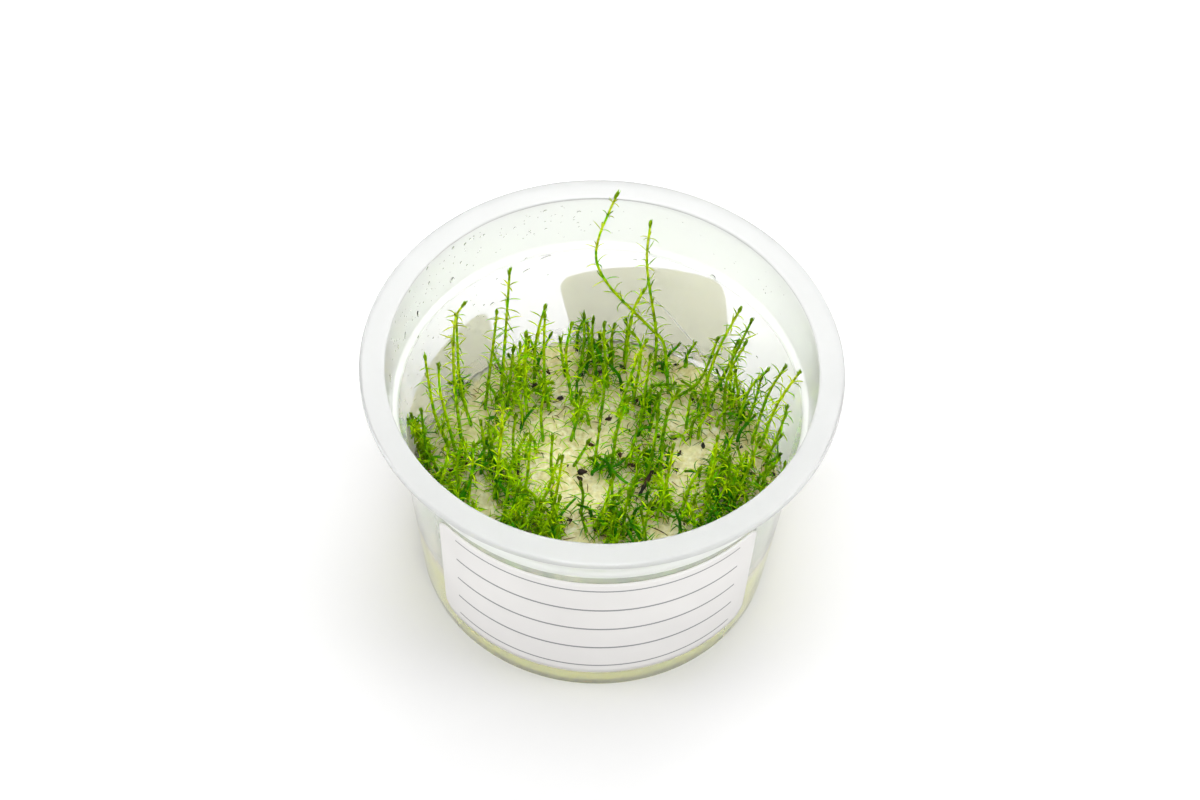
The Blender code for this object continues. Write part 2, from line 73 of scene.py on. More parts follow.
# One node with its inputs and settings. Stops are a ramp's colours.
def addNode(tree, kind, inputs, stops=(), **settings):
    node = tree.nodes.new("ShaderNode" + kind)
    for key, value in settings.items():
        setattr(node, key, value)
    setInputs(tree, node, inputs)
    for place, (position, colour) in enumerate(stops):
        elements = node.color_ramp.elements
        element = elements[place] if place < 2 else elements.new(position)
        element.position = position
        element.color = linearColour(colour)
    return node


# The nodes that come up often, each as its output: the place on the piece in metres, a noise, a range mapped to
# another (0 to 1 where none is given), a calculation, two colours mixed and a ramp. A noise's scale is the number of
# its patches in a metre, so 1000 makes them a millimetre wide.
def placeOn(tree):
    return addNode(tree, "TexCoord", {}).outputs["Object"]


def noise(tree, place, scale, detail, **inputs):
    return addNode(tree, "TexNoise", {"Vector": place, "Scale": scale, "Detail": detail, **inputs}).outputs[0]


def mapped(tree, value, *ends):
    names = ("From Min", "From Max", "To Min", "To Max")
    return addNode(tree, "MapRange", {"Value": value, **dict(zip(names, ends))}).outputs[0]


def computed(tree, operation, *values):
    return addNode(tree, "Math", dict(enumerate(values)), operation=operation).outputs[0]


def mixed(tree, share, first, second):
    return addNode(tree, "Mix", {0: share, 6: first, 7: second}, data_type="RGBA").outputs[2]


def ramped(tree, value, *stops):
    return addNode(tree, "ValToRGB", {0: value}, stops).outputs[0]


# A height laid on the shader as a bump.
def addBump(tree, shader, height, strength, distance):
    bump = addNode(tree, "Bump", {"Height": height, "Strength": strength, "Distance": distance})
    setInputs(tree, shader, {"Normal": bump.outputs[0]})


# A material whose shader has these plain values.
def newMaterial(name, values):
    material = bpy.data.materials.new(name)
    material.use_nodes = True
    tree = material.node_tree
    shader = tree.nodes["Principled BSDF"]
    setInputs(tree, shader, values)
    return material, tree, shader


def addObject(name, data):
    thing = bpy.data.objects.new(name, data)
    bpy.context.scene.collection.objects.link(thing)
    return thing


# Stands a camera or a lamp at a place, with its own x, y and z along these directions.
def standAt(thing, place, right, up, back):
    columns = np.column_stack([right, up, back, place])
    thing.matrix_world = Matrix([*columns.tolist(), (0.0, 0.0, 0.0, 1.0)])


# Puts a finished piece into the scene from whole arrays: points in millimetres, corner numbers of its quads and
# triangles, and where given a UV per point, a tone per point and the material number of each face.
def addPiece(name, shape, materials, replaced=(), uv=None, tone=None, faceMaterial=None):
    points, quads, triangles = shape
    mesh = bpy.data.meshes.new(name)
    corners = np.concatenate([quads.ravel(), triangles.ravel()]).astype(np.int32)
    starts = np.concatenate([np.arange(len(quads)) * 4, len(quads) * 4 + np.arange(len(triangles)) * 3])
    mesh.vertices.add(len(points))
    mesh.vertices.foreach_set("co", (points * mm).astype(np.float32).ravel())
    mesh.loops.add(len(corners))
    mesh.loops.foreach_set("vertex_index", corners)
    mesh.polygons.add(len(starts))
    mesh.polygons.foreach_set("loop_start", starts.astype(np.int32))
    for material in materials:
        mesh.materials.append(material)
    if faceMaterial is not None:
        mesh.polygons.foreach_set("material_index", faceMaterial.astype(np.int32))
    mesh.update(calc_edges=True)
    mesh.shade_smooth()
    if uv is not None:
        mesh.uv_layers.new(name="UVMap").data.foreach_set("uv", uv[corners].astype(np.float32).ravel())
    if tone is not None:
        attribute = mesh.attributes.new("milfoilTone", "FLOAT_COLOR", "POINT")
        attribute.data.foreach_set("color", tone.astype(np.float32).ravel())
    piece = addObject(name, mesh)
    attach(piece, "root")
    if replaced:
        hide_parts(*replaced)


# Several shapes as one, with each shape's corner numbers moved past the points before it.
def joinShapes(shapes):
    points, quads, triangles = zip(*shapes)
    offsets = np.cumsum([0] + [len(part) for part in points])
    return (np.concatenate(points), np.concatenate([part + offset for part, offset in zip(quads, offsets)]),
            np.concatenate([part + offset for part, offset in zip(triangles, offsets)]))


# Points round the cup's axis: x = r cos a, y = r sin a. With r = 1 and height 0 they are directions.
def roundAxis(radius, angle, height):
    return np.stack(np.broadcast_arrays(radius * np.cos(angle), radius * np.sin(angle), height), axis=-1)


# Camera: looks along the picture's axis from the fitted distance, rolled a little clockwise. clip is in metres.
view = {"pitch": 53.03, "roll": 2.51, "distance": 600.0, "target": (-0.17, -9.76, 64.3), "focalPixels": 2917.5,
        "width": 1200.0, "height": 800.0, "sensor": 36.0, "clip": (0.05, 20.0)}


def viewAxes():
    pitch, roll = math.radians(view["pitch"]), math.radians(view["roll"])
    forward = np.array([0.0, math.cos(pitch), -math.sin(pitch)])
    right = np.array([1.0, 0.0, 0.0])
    up = np.cross(right, forward)
    return (math.cos(roll) * right + math.sin(roll) * up, math.cos(roll) * up - math.sin(roll) * right, forward)


# The point at height z that the picture shows at a pixel: eye + ray (z - eye z) / ray z, for arrays of both.
def placeOf(pixels, z):
    right, up, forward = viewAxes()
    offset = (np.atleast_2d(pixels) - [view["width"] / 2.0, view["height"] / 2.0]) / view["focalPixels"]
    ray = forward + offset[:, :1] * right - offset[:, 1:] * up
    eye = np.array(view["target"]) - view["distance"] * forward
    return eye + ray * ((np.atleast_1d(z) - eye[2]) / ray[:, 2])[:, None]


def makeCamera():
    right, up, forward = viewAxes()
    eye = (np.array(view["target"]) - view["distance"] * forward) * mm
    data = bpy.data.cameras.new("camera")
    data.sensor_width = view["sensor"]
    data.lens = view["focalPixels"] * data.sensor_width / view["width"]
    data.clip_start, data.clip_end = view["clip"]
    camera = addObject("camera", data)
    standAt(camera, eye, right, up, -forward)
    bpy.context.scene.camera = camera


makeCamera()

# Floor and light, in metres: a white table in a bright tent with six softboxes. The table's colour carries painted
# light: it is paler behind the cup and far from it, each over a range of distances, and left darker round the front
# and sides of the cup as painted shade.
studio = {"floorReach": 3.0, "floorDrop": 0.00003, "floorColour": "#CDCDCD", "floorPaintedLight": "#EEEEEE",
          "paintedLightBehind": (0.02, 0.10), "paintedLightBeyond": (0.12, 0.30), "sky": 0.75, "skyColour": "#FFFFFF",
          "softboxes": (
              {"name": "softboxBack", "place": (0.15, 0.70, 0.95), "size": 0.90, "power": 5.2},
              {"name": "softboxTop", "place": (0.0, 0.0, 1.25), "size": 0.60, "power": 4.4},
              {"name": "softboxCamera", "place": (0.05, -0.70, 0.95), "size": 0.55, "power": 3.7},
              {"name": "softboxFront", "place": (-0.10, -1.0, 0.25), "size": 0.60, "power": 3.2},
              {"name": "softboxLeft", "place": (-1.0, -0.10, 0.60), "size": 0.60, "power": 4.2},
              {"name": "softboxRight", "place": (1.0, -0.10, 0.60), "size": 0.60, "power": 4.9})}


def makeFloor():
    reach, level = studio["floorReach"], -studio["floorDrop"]
    mesh = bpy.data.meshes.new("floor")
    mesh.from_pydata([(-reach, -reach, level), (reach, -reach, level), (reach, reach, level), (-reach, reach, level)],
                     [], [(0, 1, 2, 3)])
    material, tree, shader = newMaterial("mattTable", {"Roughness": 0.9, "Specular IOR Level": 0.1})
    place = placeOn(tree)
    # The share of the paler colour is painted light: it grows behind the cup and with distance from it.
    behind = mapped(tree, addNode(tree, "SeparateXYZ", {0: place}).outputs[1], *studio["paintedLightBehind"])
    away = addNode(tree, "VectorMath", {0: place}, operation="LENGTH").outputs["Value"]
    share = computed(tree, "MAXIMUM", behind, mapped(tree, away, *studio["paintedLightBeyond"]))
    setInputs(tree, shader, {"Base Color": mixed(tree, share, studio["floorColour"], studio["floorPaintedLight"])})
    mesh.materials.append(material)
    floor = addObject("floor", mesh)
    floor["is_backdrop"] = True


# The softboxes are round and face the cup.
def makeLight():
    world = bpy.data.worlds.new("tent")
    world.use_nodes = True
    setInputs(world.node_tree, world.node_tree.nodes["Background"],
              {"Color": studio["skyColour"], "Strength": studio["sky"]})
    bpy.context.scene.world = world
    for box in studio["softboxes"]:
        data = bpy.data.lights.new(box["name"], "AREA")
        data.shape, data.size, data.energy = "DISK", box["size"], box["power"]
        place = np.array(box["place"])
        back = place / np.linalg.norm(place)
        side = np.cross([0.0, 1.0, 0.0], back)
        side /= np.linalg.norm(side)
        standAt(addObject(box["name"], data), place, side, np.cross(back, side), back)
    bpy.context.scene.view_settings.view_transform = "Standard"


makeFloor()
makeLight()
print("camera, floor and lights")

noTriangles = np.zeros((0, 3), int)


# A grid of points as quads: rows by columns, with the columns going round to the first again if closed, and the rows
# too if ring. Seen from outside, columns run to the right of the way the rows run.
def gridQuads(rows, columns, closed, ring=False):
    row, column = np.meshgrid(np.arange(rows if ring else rows - 1), np.arange(columns if closed else columns - 1),
                              indexing="ij")
    nextRow, nextColumn = (row + 1) % rows * columns, (column + 1) % columns
    row = row * columns
    return np.stack([row + column, row + nextColumn, nextRow + nextColumn, nextRow + column], axis=-1).reshape(-1, 4)


# The faces of n shapes that are each a grid of rows by columns, closed round, with a pole at the first and last row.
def cappedFaces(count, rows, columns):
    first = (np.arange(count) * (rows * columns + 2))[:, None, None]
    here = np.arange(columns)
    there = (here + 1) % columns
    last = (rows - 1) * columns
    pole = np.full(columns, rows * columns)
    ends = np.concatenate([np.stack([pole, there, here], axis=-1),
                           np.stack([last + here, last + there, pole + 1], axis=-1)])
    return (gridQuads(rows, columns, True)[None] + first).reshape(-1, 4), (ends[None] + first).reshape(-1, 3)


# A turned surface from radius and height, rows by columns, with a pole at each end.
def turnedShape(radius, height):
    columns = height.shape[1]
    angle = 2.0 * np.pi * np.arange(columns) / columns
    poles = np.outer([height[0].mean(), height[-1].mean()], upright)
    return np.concatenate([roundAxis(radius, angle, height).reshape(-1, 3), poles]), *cappedFaces(1, *height.shape)


# A profile with its corners rounded: each corner is a quadratic curve between two points, cut back from the corner
# by its radius but by no more than 0.45 of the shorter edge.
def roundedProfile(corners, steps=5):
    corners = np.array(corners)
    place, radius = corners[:, :2], corners[:, 2]
    before, after = place[:-2] - place[1:-1], place[2:] - place[1:-1]
    lengthBefore = np.linalg.norm(before, axis=1, keepdims=True)
    lengthAfter = np.linalg.norm(after, axis=1, keepdims=True)
    cut = np.minimum(radius[1:-1, None], 0.45 * np.minimum(lengthBefore, lengthAfter))
    start = place[1:-1] + before / lengthBefore * cut
    end = place[1:-1] + after / lengthAfter * cut
    t = np.linspace(0.0, 1.0, steps)[:, None, None]
    curve = (1.0 - t) ** 2 * start + 2.0 * t * (1.0 - t) * place[1:-1] + t ** 2 * end
    return np.concatenate([place[:1], curve.transpose(1, 0, 2).reshape(-1, 2), place[-1:]])


# The cup. Its sizes are the frame's: tapered wall, ledge, collar and rim flange with a turned-down edge. Of its
# plastics, each a name, colour and clearness, the second and third start at collarFrom and flangeFrom, and the last
# is on the outside up to footTo. All are one polypropylene: the collar's faint darkening and green tint and the
# flange's grey are painted shade, and the foot's pale, yellowish, nearly opaque copy is painted light against the
# shade under the cup.
cup = {"height": 64.3, "rim": 50.5, "edgeDrop": 1.6, "flange": 0.8, "wall": 0.6, "mouth": 45.2, "ledge": 50.4,
       "collar": 44.6, "wallTop": 43.3, "wallFoot": 38.6, "ringIn": 33.0, "recess": 0.6, "floor": 0.6,
       "columns": 224, "corner": 0.5, "footCorner": 0.2, "ringCorner": 0.4, "underCorner": 0.3, "edgeCorner": 0.15,
       "draft": 0.1, "ledgeRise": 0.8, "ledgeCorner": 0.6, "poleRadius": 6.0,
       "collarFrom": 49.0, "flangeFrom": 62.5, "footTo": 1.3,
       "plastics": (("polypropyleneWall", "#FFFFFF", 0.84), ("polypropyleneCollarShaded", "#F6FAF4", 0.56),
                    ("polypropyleneFlangeShaded", "#C9CAC9", 0.55), ("polypropyleneFootPaintedLight", "#F2F4D2", 0.12))}


def outerRadius(z):
    return cup["wallFoot"] + (cup["wallTop"] - cup["wallFoot"]) * z / cup["ledge"]


def innerRadius(z):
    rise = (z - cup["ledge"]) / (cup["height"] - cup["ledge"])
    collar = cup["collar"] - cup["wall"] + (cup["mouth"] - cup["collar"]) * rise
    return np.where(z < cup["ledge"], outerRadius(z) - cup["wall"], collar)


# Points drawn in towards the axis where they come nearer to the inner wall than the margin.
def keptInside(points, margin):
    reach = np.maximum(np.hypot(points[..., 0], points[..., 1]), 1e-6)
    inward = np.minimum(1.0, (innerRadius(points[..., 2]) - margin) / reach)
    return points * np.stack([inward, inward, np.ones_like(inward)], axis=-1)


# Polypropylene, injection moulded and unpigmented: see-through and a little milky, more so where it is thick, with a
# soft gloss and a slightly uneven skin from the mould.
def mouldedPolypropylene(name, colour, clearness):
    material, tree, shader = newMaterial(name, {
        "Base Color": colour, "IOR": 1.49, "Transmission Weight": clearness,
        "Subsurface Weight": 1.0, "Subsurface Radius": (1.0, 1.0, 1.0), "Subsurface Scale": 0.003})
    place = placeOn(tree)
    setInputs(tree, shader, {"Roughness": mapped(tree, noise(tree, place, 90.0, 3.0), 0.3, 0.7, 0.04, 0.11)})
    addBump(tree, shader, noise(tree, place, 220.0, 2.0), 0.06, 0.0004)
    return material


# The profile runs out under the floor, up the outside and down the inside, as radius, height and corner radius.
def makeCup():
    top, ledge, wall, corner = cup["height"], cup["ledge"], cup["wall"], cup["corner"]
    floorTop, edge, under = cup["recess"] + cup["floor"], top - cup["edgeDrop"], top - cup["flange"]
    draft = cup["draft"]
    corners = [
        (0.0, cup["recess"], 0.0), (cup["ringIn"] - cup["recess"], cup["recess"], corner),
        (cup["ringIn"], 0.0, cup["ringCorner"]), (cup["wallFoot"], 0.0, cup["footCorner"]),
        (outerRadius(ledge - wall), ledge - wall, corner), (cup["collar"], ledge - draft, corner),
        (cup["mouth"], under, corner), (cup["rim"] - wall, under, cup["underCorner"]),
        (cup["rim"] - wall + draft, edge, cup["edgeCorner"]), (cup["rim"], edge, cup["edgeCorner"]),
        (cup["rim"], top, corner), (cup["mouth"], top, corner),
        (cup["collar"] - wall, ledge + cup["ledgeRise"], cup["ledgeCorner"]),
        (innerRadius(ledge - draft), ledge, corner),
        (innerRadius(floorTop), floorTop, cup["footCorner"]), (0.0, floorTop, 0.0)]
    profile = roundedProfile(corners)[1:-1]
    profile = np.concatenate([[(cup["poleRadius"], cup["recess"])], profile, [(cup["poleRadius"], floorTop)]])
    radius, height = (np.repeat(profile[:, [axis]], cup["columns"], axis=1) for axis in (0, 1))
    middle = (profile[:-1, 1] + profile[1:, 1]) / 2.0
    number = (middle > cup["collarFrom"]).astype(int) + (middle > cup["flangeFrom"])
    outside = (np.arange(len(middle)) < len(middle) // 2) & (profile[:-1, 0] > cup["ringIn"])
    # The outside up to footTo takes the pale foot copy, painted light against the shade under the cup.
    number = np.where(outside & (middle < cup["footTo"]), 3, number)
    addPiece("clearCup", turnedShape(radius, height), [mouldedPolypropylene(*plastic) for plastic in cup["plastics"]],
             ["cup"],
             faceMaterial=np.concatenate([np.repeat(number, cup["columns"]), np.zeros(2 * cup["columns"])]))


makeCup()
print("cup")

# The gel: lumps as in the frame, grains, and a rim that climbs the wall. From the first height of creamFrom to the
# second its colour turns to cream.
gel = {"level": 20.0, "creamFrom": (16.5, 19.6), "lump": 0.35, "bottom": 1.17, "grip": 0.03, "corner": 0.4,
       "columns": 360, "rings": 96, "sideRows": 14, "poleRadii": (4.0, 0.5), "smoothMiddle": 3.0,
       "climb": 1.1, "climbReach": 0.9, "grain": 0.085, "grainWaves": 36, "grainLengths": (1.1, 3.4)}


def gelTop(x, y):
    longRipple = np.sin(x / 5.3 + 0.6) * np.cos(y / 4.7 - 0.4)
    crossRipple = np.sin((x + y) / 8.1 + 1.9)
    return gel["level"] + gel["lump"] * (0.6 * longRipple + 0.4 * crossRipple)


# Grains: the sum of plane waves, each turned by the golden angle from the last and a little longer.
def gelGrains(x, y):
    number = np.arange(gel["grainWaves"])
    low, high = gel["grainLengths"]
    length = low * (high / low) ** (number / (gel["grainWaves"] - 1.0))
    turn = goldenAngle * number
    waves = np.sin(2.0 * np.pi / length * (x[..., None] * np.cos(turn) + y[..., None] * np.sin(turn)) + 7.0 * number)
    return gel["grain"] * (waves * np.sqrt(length / high)).sum(axis=-1) / math.sqrt(gel["grainWaves"] / 12.0)


# Agar nutrient gel, poured and set: wet and translucent, cream on its grainy top and yellow-green in its depth. The
# yellow-green is its own colour pushed to full brightness as painted light, for a side that the wall and the shade
# under the cup leave dim.
def settledAgar():
    material, tree, shader = newMaterial("settledAgar", {
        "IOR": 1.34, "Subsurface Weight": 0.9, "Subsurface Radius": (1.0, 0.9, 0.5), "Subsurface Scale": 0.006,
        "Coat Weight": 0.3, "Coat Roughness": 0.1, "Coat IOR": 1.33})
    place = placeOn(tree)
    isTop = mapped(tree, addNode(tree, "SeparateXYZ", {0: place}).outputs[2], *(z * mm for z in gel["creamFrom"]))
    grain = noise(tree, place, 900.0, 4.0, Roughness=0.65)
    patch = noise(tree, place, 170.0, 2.0)
    cream = ramped(tree, grain, (0.36, "#C6B981"), (0.50, "#E9DEB2"), (0.62, "#FCF7DF"))
    # Below creamFrom the gel is a bright yellow-green: its own colour with painted light on the side.
    body = mixed(tree, isTop, "#FFFFA2", mixed(tree, patch, cream, "#EDE5AA"))
    pits = addNode(tree, "TexVoronoi", {"Vector": place, "Scale": 1100.0}).outputs[0]
    addBump(tree, shader, pits, 0.55, 0.0003)
    setInputs(tree, shader, {"Base Color": body, "Roughness": mapped(tree, grain, 0.0, 1.0, 0.2, 0.55)})
    return material


# Rows run out under the gel, up its side and in over its top. A top row's height is lumps + grains + a climb at the
# wall that dies away as exp(-distance / reach). The side grips the wall, as set gel does, with no air between.
def makeGel():
    angle = 2.0 * np.pi * np.arange(gel["columns"]) / gel["columns"]
    edgeRadius = innerRadius(np.array(gel["level"] + gel["climb"])) + gel["grip"]
    bottomRadius = np.linspace(gel["poleRadii"][0], innerRadius(np.array(gel["bottom"])) - gel["corner"], 9)
    topRadius = np.linspace(edgeRadius, gel["poleRadii"][1], gel["rings"])[:, None]
    x, y = topRadius * np.cos(angle), topRadius * np.sin(angle)
    fade = np.clip(topRadius / gel["smoothMiddle"], 0.0, 1.0)
    topHeight = gelTop(x, y) + gelGrains(x, y) * fade
    topHeight += gel["climb"] * np.exp((topRadius - edgeRadius) / gel["climbReach"])
    share = np.linspace(0.0, 1.0, gel["sideRows"])[:-1, None]
    sideFoot = gel["bottom"] + gel["corner"]
    sideHeight = sideFoot + share * (topHeight[:1] - sideFoot)
    sideRadius = innerRadius(sideHeight) + gel["grip"]
    bottom = np.full((len(bottomRadius), gel["columns"]), gel["bottom"])
    height = np.concatenate([bottom, sideHeight, topHeight])
    radius = np.concatenate([np.repeat(bottomRadius[:, None], gel["columns"], axis=1), sideRadius,
                             np.repeat(topRadius, gel["columns"], axis=1)])
    addPiece("agarGel", turnedShape(radius, height), [settledAgar()], ["gel"])


makeGel()
print("gel")

# The labels: where each lies on the wall, and the papers with the ruled lines printed on them. A paper has its own
# colour, its lines' colour, how far the lines reach each way, and a share of light that shines through it.
labels = {"gap": 0.04, "thickness": 0.11, "corner": 3.5, "cornerSteps": 8, "rows": 25, "columnWidth": 1.6,
          "lineSpacing": 8.4, "lineWidth": 0.6,
          # The wide paper is the same white coated paper as the small one, greyed as painted shade.
          "papers": (("coatedPaperWideShaded", "#CAC8C6", "#77797A", (32.5, 17.0), 0.15),
                     ("coatedPaperSmall", "#F6F4F3", "#77797A", (16.0, 10.0), 1.0),
                     # The back's yellow is the gum's, with green light bounced from the plants and the shade inside
                     # the cup painted in.
                     ("gumPaperBackPaintedBounce", "#C9C498", "#AEAC84", (16.0, 10.0), 1.0)),
          "sheets": (
              {"name": "paperLabelFront", "node": "label_front", "azimuth": 271.3, "middle": 26.0,
               "size": (75.2, 40.2), "tilt": 0.0, "wide": True},
              {"name": "paperLabelLeft", "node": "label_left", "azimuth": 154.0, "middle": 24.6,
               "size": (40.0, 26.0), "tilt": 5.0, "wide": False},
              {"name": "paperLabelBack", "node": "label_back", "azimuth": 74.8, "middle": 32.7,
               "size": (39.5, 26.0), "tilt": 13.0, "wide": False})}


# Coated label paper, matt, with fine fibres and printed with ruled lines a fixed spacing apart, inside a margin.
def coatedPaper(name, colour, lineColour, ruled, glow):
    material, tree, shader = newMaterial(name, {
        "Roughness": 0.6, "Specular IOR Level": 0.35, "Subsurface Weight": glow,
        "Subsurface Radius": (1.0, 1.0, 0.95), "Subsurface Scale": 0.0015})
    place = placeOn(tree)
    fibre = noise(tree, place, 1500.0, 3.0)
    shade = mapped(tree, noise(tree, place, 60.0, 2.0), 0.3, 0.7, 0.95, 1.0)
    paper = addNode(tree, "VectorMath", {0: linearColour(colour)[:3], 1: shade}, operation="MULTIPLY").outputs[0]
    flat = addNode(tree, "UVMap", {}, uv_map="UVMap").outputs[0]
    along, up, _ = addNode(tree, "SeparateXYZ", {0: flat}).outputs
    spacing = labels["lineSpacing"]
    folded = computed(tree, "PINGPONG", computed(tree, "DIVIDE", up, spacing), 0.5)
    mask = computed(tree, "LESS_THAN", computed(tree, "MULTIPLY", folded, spacing), labels["lineWidth"] / 2.0)
    for axis, reach in zip((along, up), ruled):
        within = computed(tree, "LESS_THAN", computed(tree, "ABSOLUTE", axis), reach)
        mask = computed(tree, "MULTIPLY", mask, within)
    setInputs(tree, shader, {"Base Color": mixed(tree, mask, paper, lineColour)})
    addBump(tree, shader, fibre, 0.15, 0.0001)
    return material


# A label on the wall: u runs along it and v up it. Around = u cos t - v sin t, z = middle + u sin t + v cos t, the
# angle is azimuth - around / radius, and v reaches less far where the round corners begin.
def makeLabel(sheet, face, back):
    width, height = sheet["size"]
    corner, rows = labels["corner"], labels["rows"]
    reach = width / 2.0
    intoCorner = corner * np.sin(np.linspace(0.0, np.pi / 2.0, labels["cornerSteps"]))
    straight = np.linspace(-reach + corner, reach - corner, max(12, round(width / labels["columnWidth"])))
    u = np.concatenate([-reach + corner - intoCorner[:0:-1], straight, reach - corner + intoCorner[1:]])
    inside = np.clip(np.abs(u) - (reach - corner), 0.0, corner)
    half = height / 2.0 - corner + np.sqrt(np.maximum(corner ** 2 - inside ** 2, 1e-6))
    v = half[:, None] * np.linspace(-1.0, 1.0, rows)
    u = np.repeat(u[:, None], rows, axis=1)
    turn = math.radians(sheet["tilt"])
    around = u * math.cos(turn) - v * math.sin(turn)
    z = sheet["middle"] + u * math.sin(turn) + v * math.cos(turn)
    angle = math.radians(sheet["azimuth"]) - around / outerRadius(z)
    points = np.concatenate([roundAxis(outerRadius(z) + offset, angle, z).reshape(-1, 3)
                             for offset in (labels["gap"], labels["gap"] + labels["thickness"])])
    quads = gridQuads(len(u), rows, False)
    index = np.arange(u.size).reshape(u.shape)
    rim = np.concatenate([index[:, 0], index[-1, 1:], index[-2::-1, -1], index[0, -2:0:-1]])
    after = np.roll(rim, -1)
    edge = np.stack([after, rim, u.size + rim, u.size + after], axis=-1)
    faces = np.concatenate([quads[:, ::-1], u.size + quads, edge])
    flat = np.stack([u.ravel(), v.ravel()], axis=-1)
    number = np.concatenate([np.full(len(quads), 1), np.zeros(len(quads) + len(edge))])
    addPiece(sheet["name"], (points, faces, noTriangles), [face, back], [sheet["node"]],
             uv=np.concatenate([flat, flat]), faceMaterial=number)


def makeLabels():
    wide, small, gumBackPainted = (coatedPaper(*paper) for paper in labels["papers"])
    for sheet in labels["sheets"]:
        makeLabel(sheet, wide if sheet["wide"] else small, gumBackPainted)


makeLabels()
print("labels")


# Tubes carried along n lines at once. lines is n by k by 3, wide and thick are the half widths, n by k, and side is
# a direction for each line. Point = line + wide cos a across + thick sin a over, where across is side made square to
# the line and over = line direction x across. A pole closes each end.
def sweptTubes(lines, wide, thick, side, sides):
    count, steps, _ = lines.shape
    ahead = np.gradient(lines, axis=1)
    ahead /= np.linalg.norm(ahead, axis=2, keepdims=True)
    across = side[:, None, :] - ahead * (side[:, None, :] * ahead).sum(axis=2, keepdims=True)
    across /= np.linalg.norm(across, axis=2, keepdims=True)
    over = np.cross(ahead, across)
    turn = 2.0 * np.pi * np.arange(sides) / sides
    rings = lines[:, :, None] + wide[:, :, None, None] * np.cos(turn)[:, None] * across[:, :, None]
    rings = rings + thick[:, :, None, None] * np.sin(turn)[:, None] * over[:, :, None]
    points = np.concatenate([rings.reshape(count, steps * sides, 3), lines[:, :1], lines[:, -1:]], axis=1)
    return points.reshape(-1, 3), *cappedFaces(count, steps, sides)


# One round tube.
def sweptTube(line, radius, side, sides):
    return sweptTubes(line[None], radius[None], radius[None], np.array([side]), sides)


# A Catmull-Rom curve through the points, with its ends carried on straight.
def smoothLine(points, steps):
    points = np.asarray(points)
    padded = np.vstack([2.0 * points[0] - points[1], points, 2.0 * points[-1] - points[-2]])
    pieces = len(points) - 1
    a, b, c, d = (padded[i:i + pieces, None] for i in range(4))
    t = (np.arange(steps) / steps)[None, :, None]
    line = 0.5 * (2.0 * b + (c - a) * t + (2.0 * a - 5.0 * b + 4.0 * c - d) * t ** 2
                  + (3.0 * b - a - 3.0 * c + d) * t ** 3)
    return np.vstack([line.reshape(-1, 3), points[-1:]])


# The points of a line at these distances from its start.
def pointsAlong(line, distances):
    steps = np.linalg.norm(np.diff(line, axis=0), axis=1)
    sofar = np.concatenate([[0.0], np.cumsum(steps)])
    return np.stack([np.interp(distances, sofar, line[:, k]) for k in range(3)], axis=-1)


def lineLength(line):
    return np.linalg.norm(np.diff(line, axis=0), axis=1).sum()


# The habits of a shoot: tall ones, tufts low in the crowd, and bushy ones. stem holds the radius at foot and tip,
# whorl the spacing of the leaf rings there, rise and droop the first and last angle of a leaf, counted up from the
# square to its stem.
tall = {"stem": (0.37, 0.26), "bud": 0.36, "budLength": 2.5, "firstWhorl": 1.2, "whorl": (2.4, 4.1),
        "leafLength": (3.5, 3.0), "leafWidth": 0.16, "rise": (28.0, 52.0), "droop": (-45.0, -18.0),
        "stemSides": 9, "leafSides": 4, "leafSteps": 7, "root": 1.2, "rowSpacing": 0.9, "youngLeaves": 8}
tuft = {"stem": (0.38, 0.26), "bud": 0.32, "budLength": 1.8, "firstWhorl": 1.2, "whorl": (2.0, 2.9),
        "leafLength": (3.2, 2.3), "leafWidth": 0.175, "rise": (30.0, 60.0), "droop": (-80.0, 10.0),
        "stemSides": 7, "leafSides": 3, "leafSteps": 6, "root": 1.0, "rowSpacing": 1.1, "youngLeaves": 5}
bushy = {**tuft, "whorl": (0.8, 1.0), "leafLength": (2.0, 2.3), "rise": (20.0, 60.0), "leafWidth": 0.19}

# What the habits share. A spread is the range a leaf's own value is drawn from, about the habit's. In the top
# part of a shoot the leaves get shorter, by topShorter at its end.
growth = {"stemMargin": 0.6, "leafMargin": 0.35, "overGel": 0.2, "budShare": 0.35, "crowdsFaster": 1.6,
          "whorlSpread": (0.85, 1.15), "nodeReach": 0.4, "nodeSwell": 0.2, "fourLeaves": 0.6,
          "turnSpread": (-0.35, 0.35), "lengthSpread": (0.7, 1.2), "topShorter": 0.4, "topPart": 0.3,
          "riseSpread": (-20.0, 20.0), "droopSpread": (-45.0, 40.0), "widthSpread": (0.85, 1.15),
          "veerSpread": (-0.7, 0.7), "chanceSpread": (-0.35, 0.35), "topTone": 35.0}

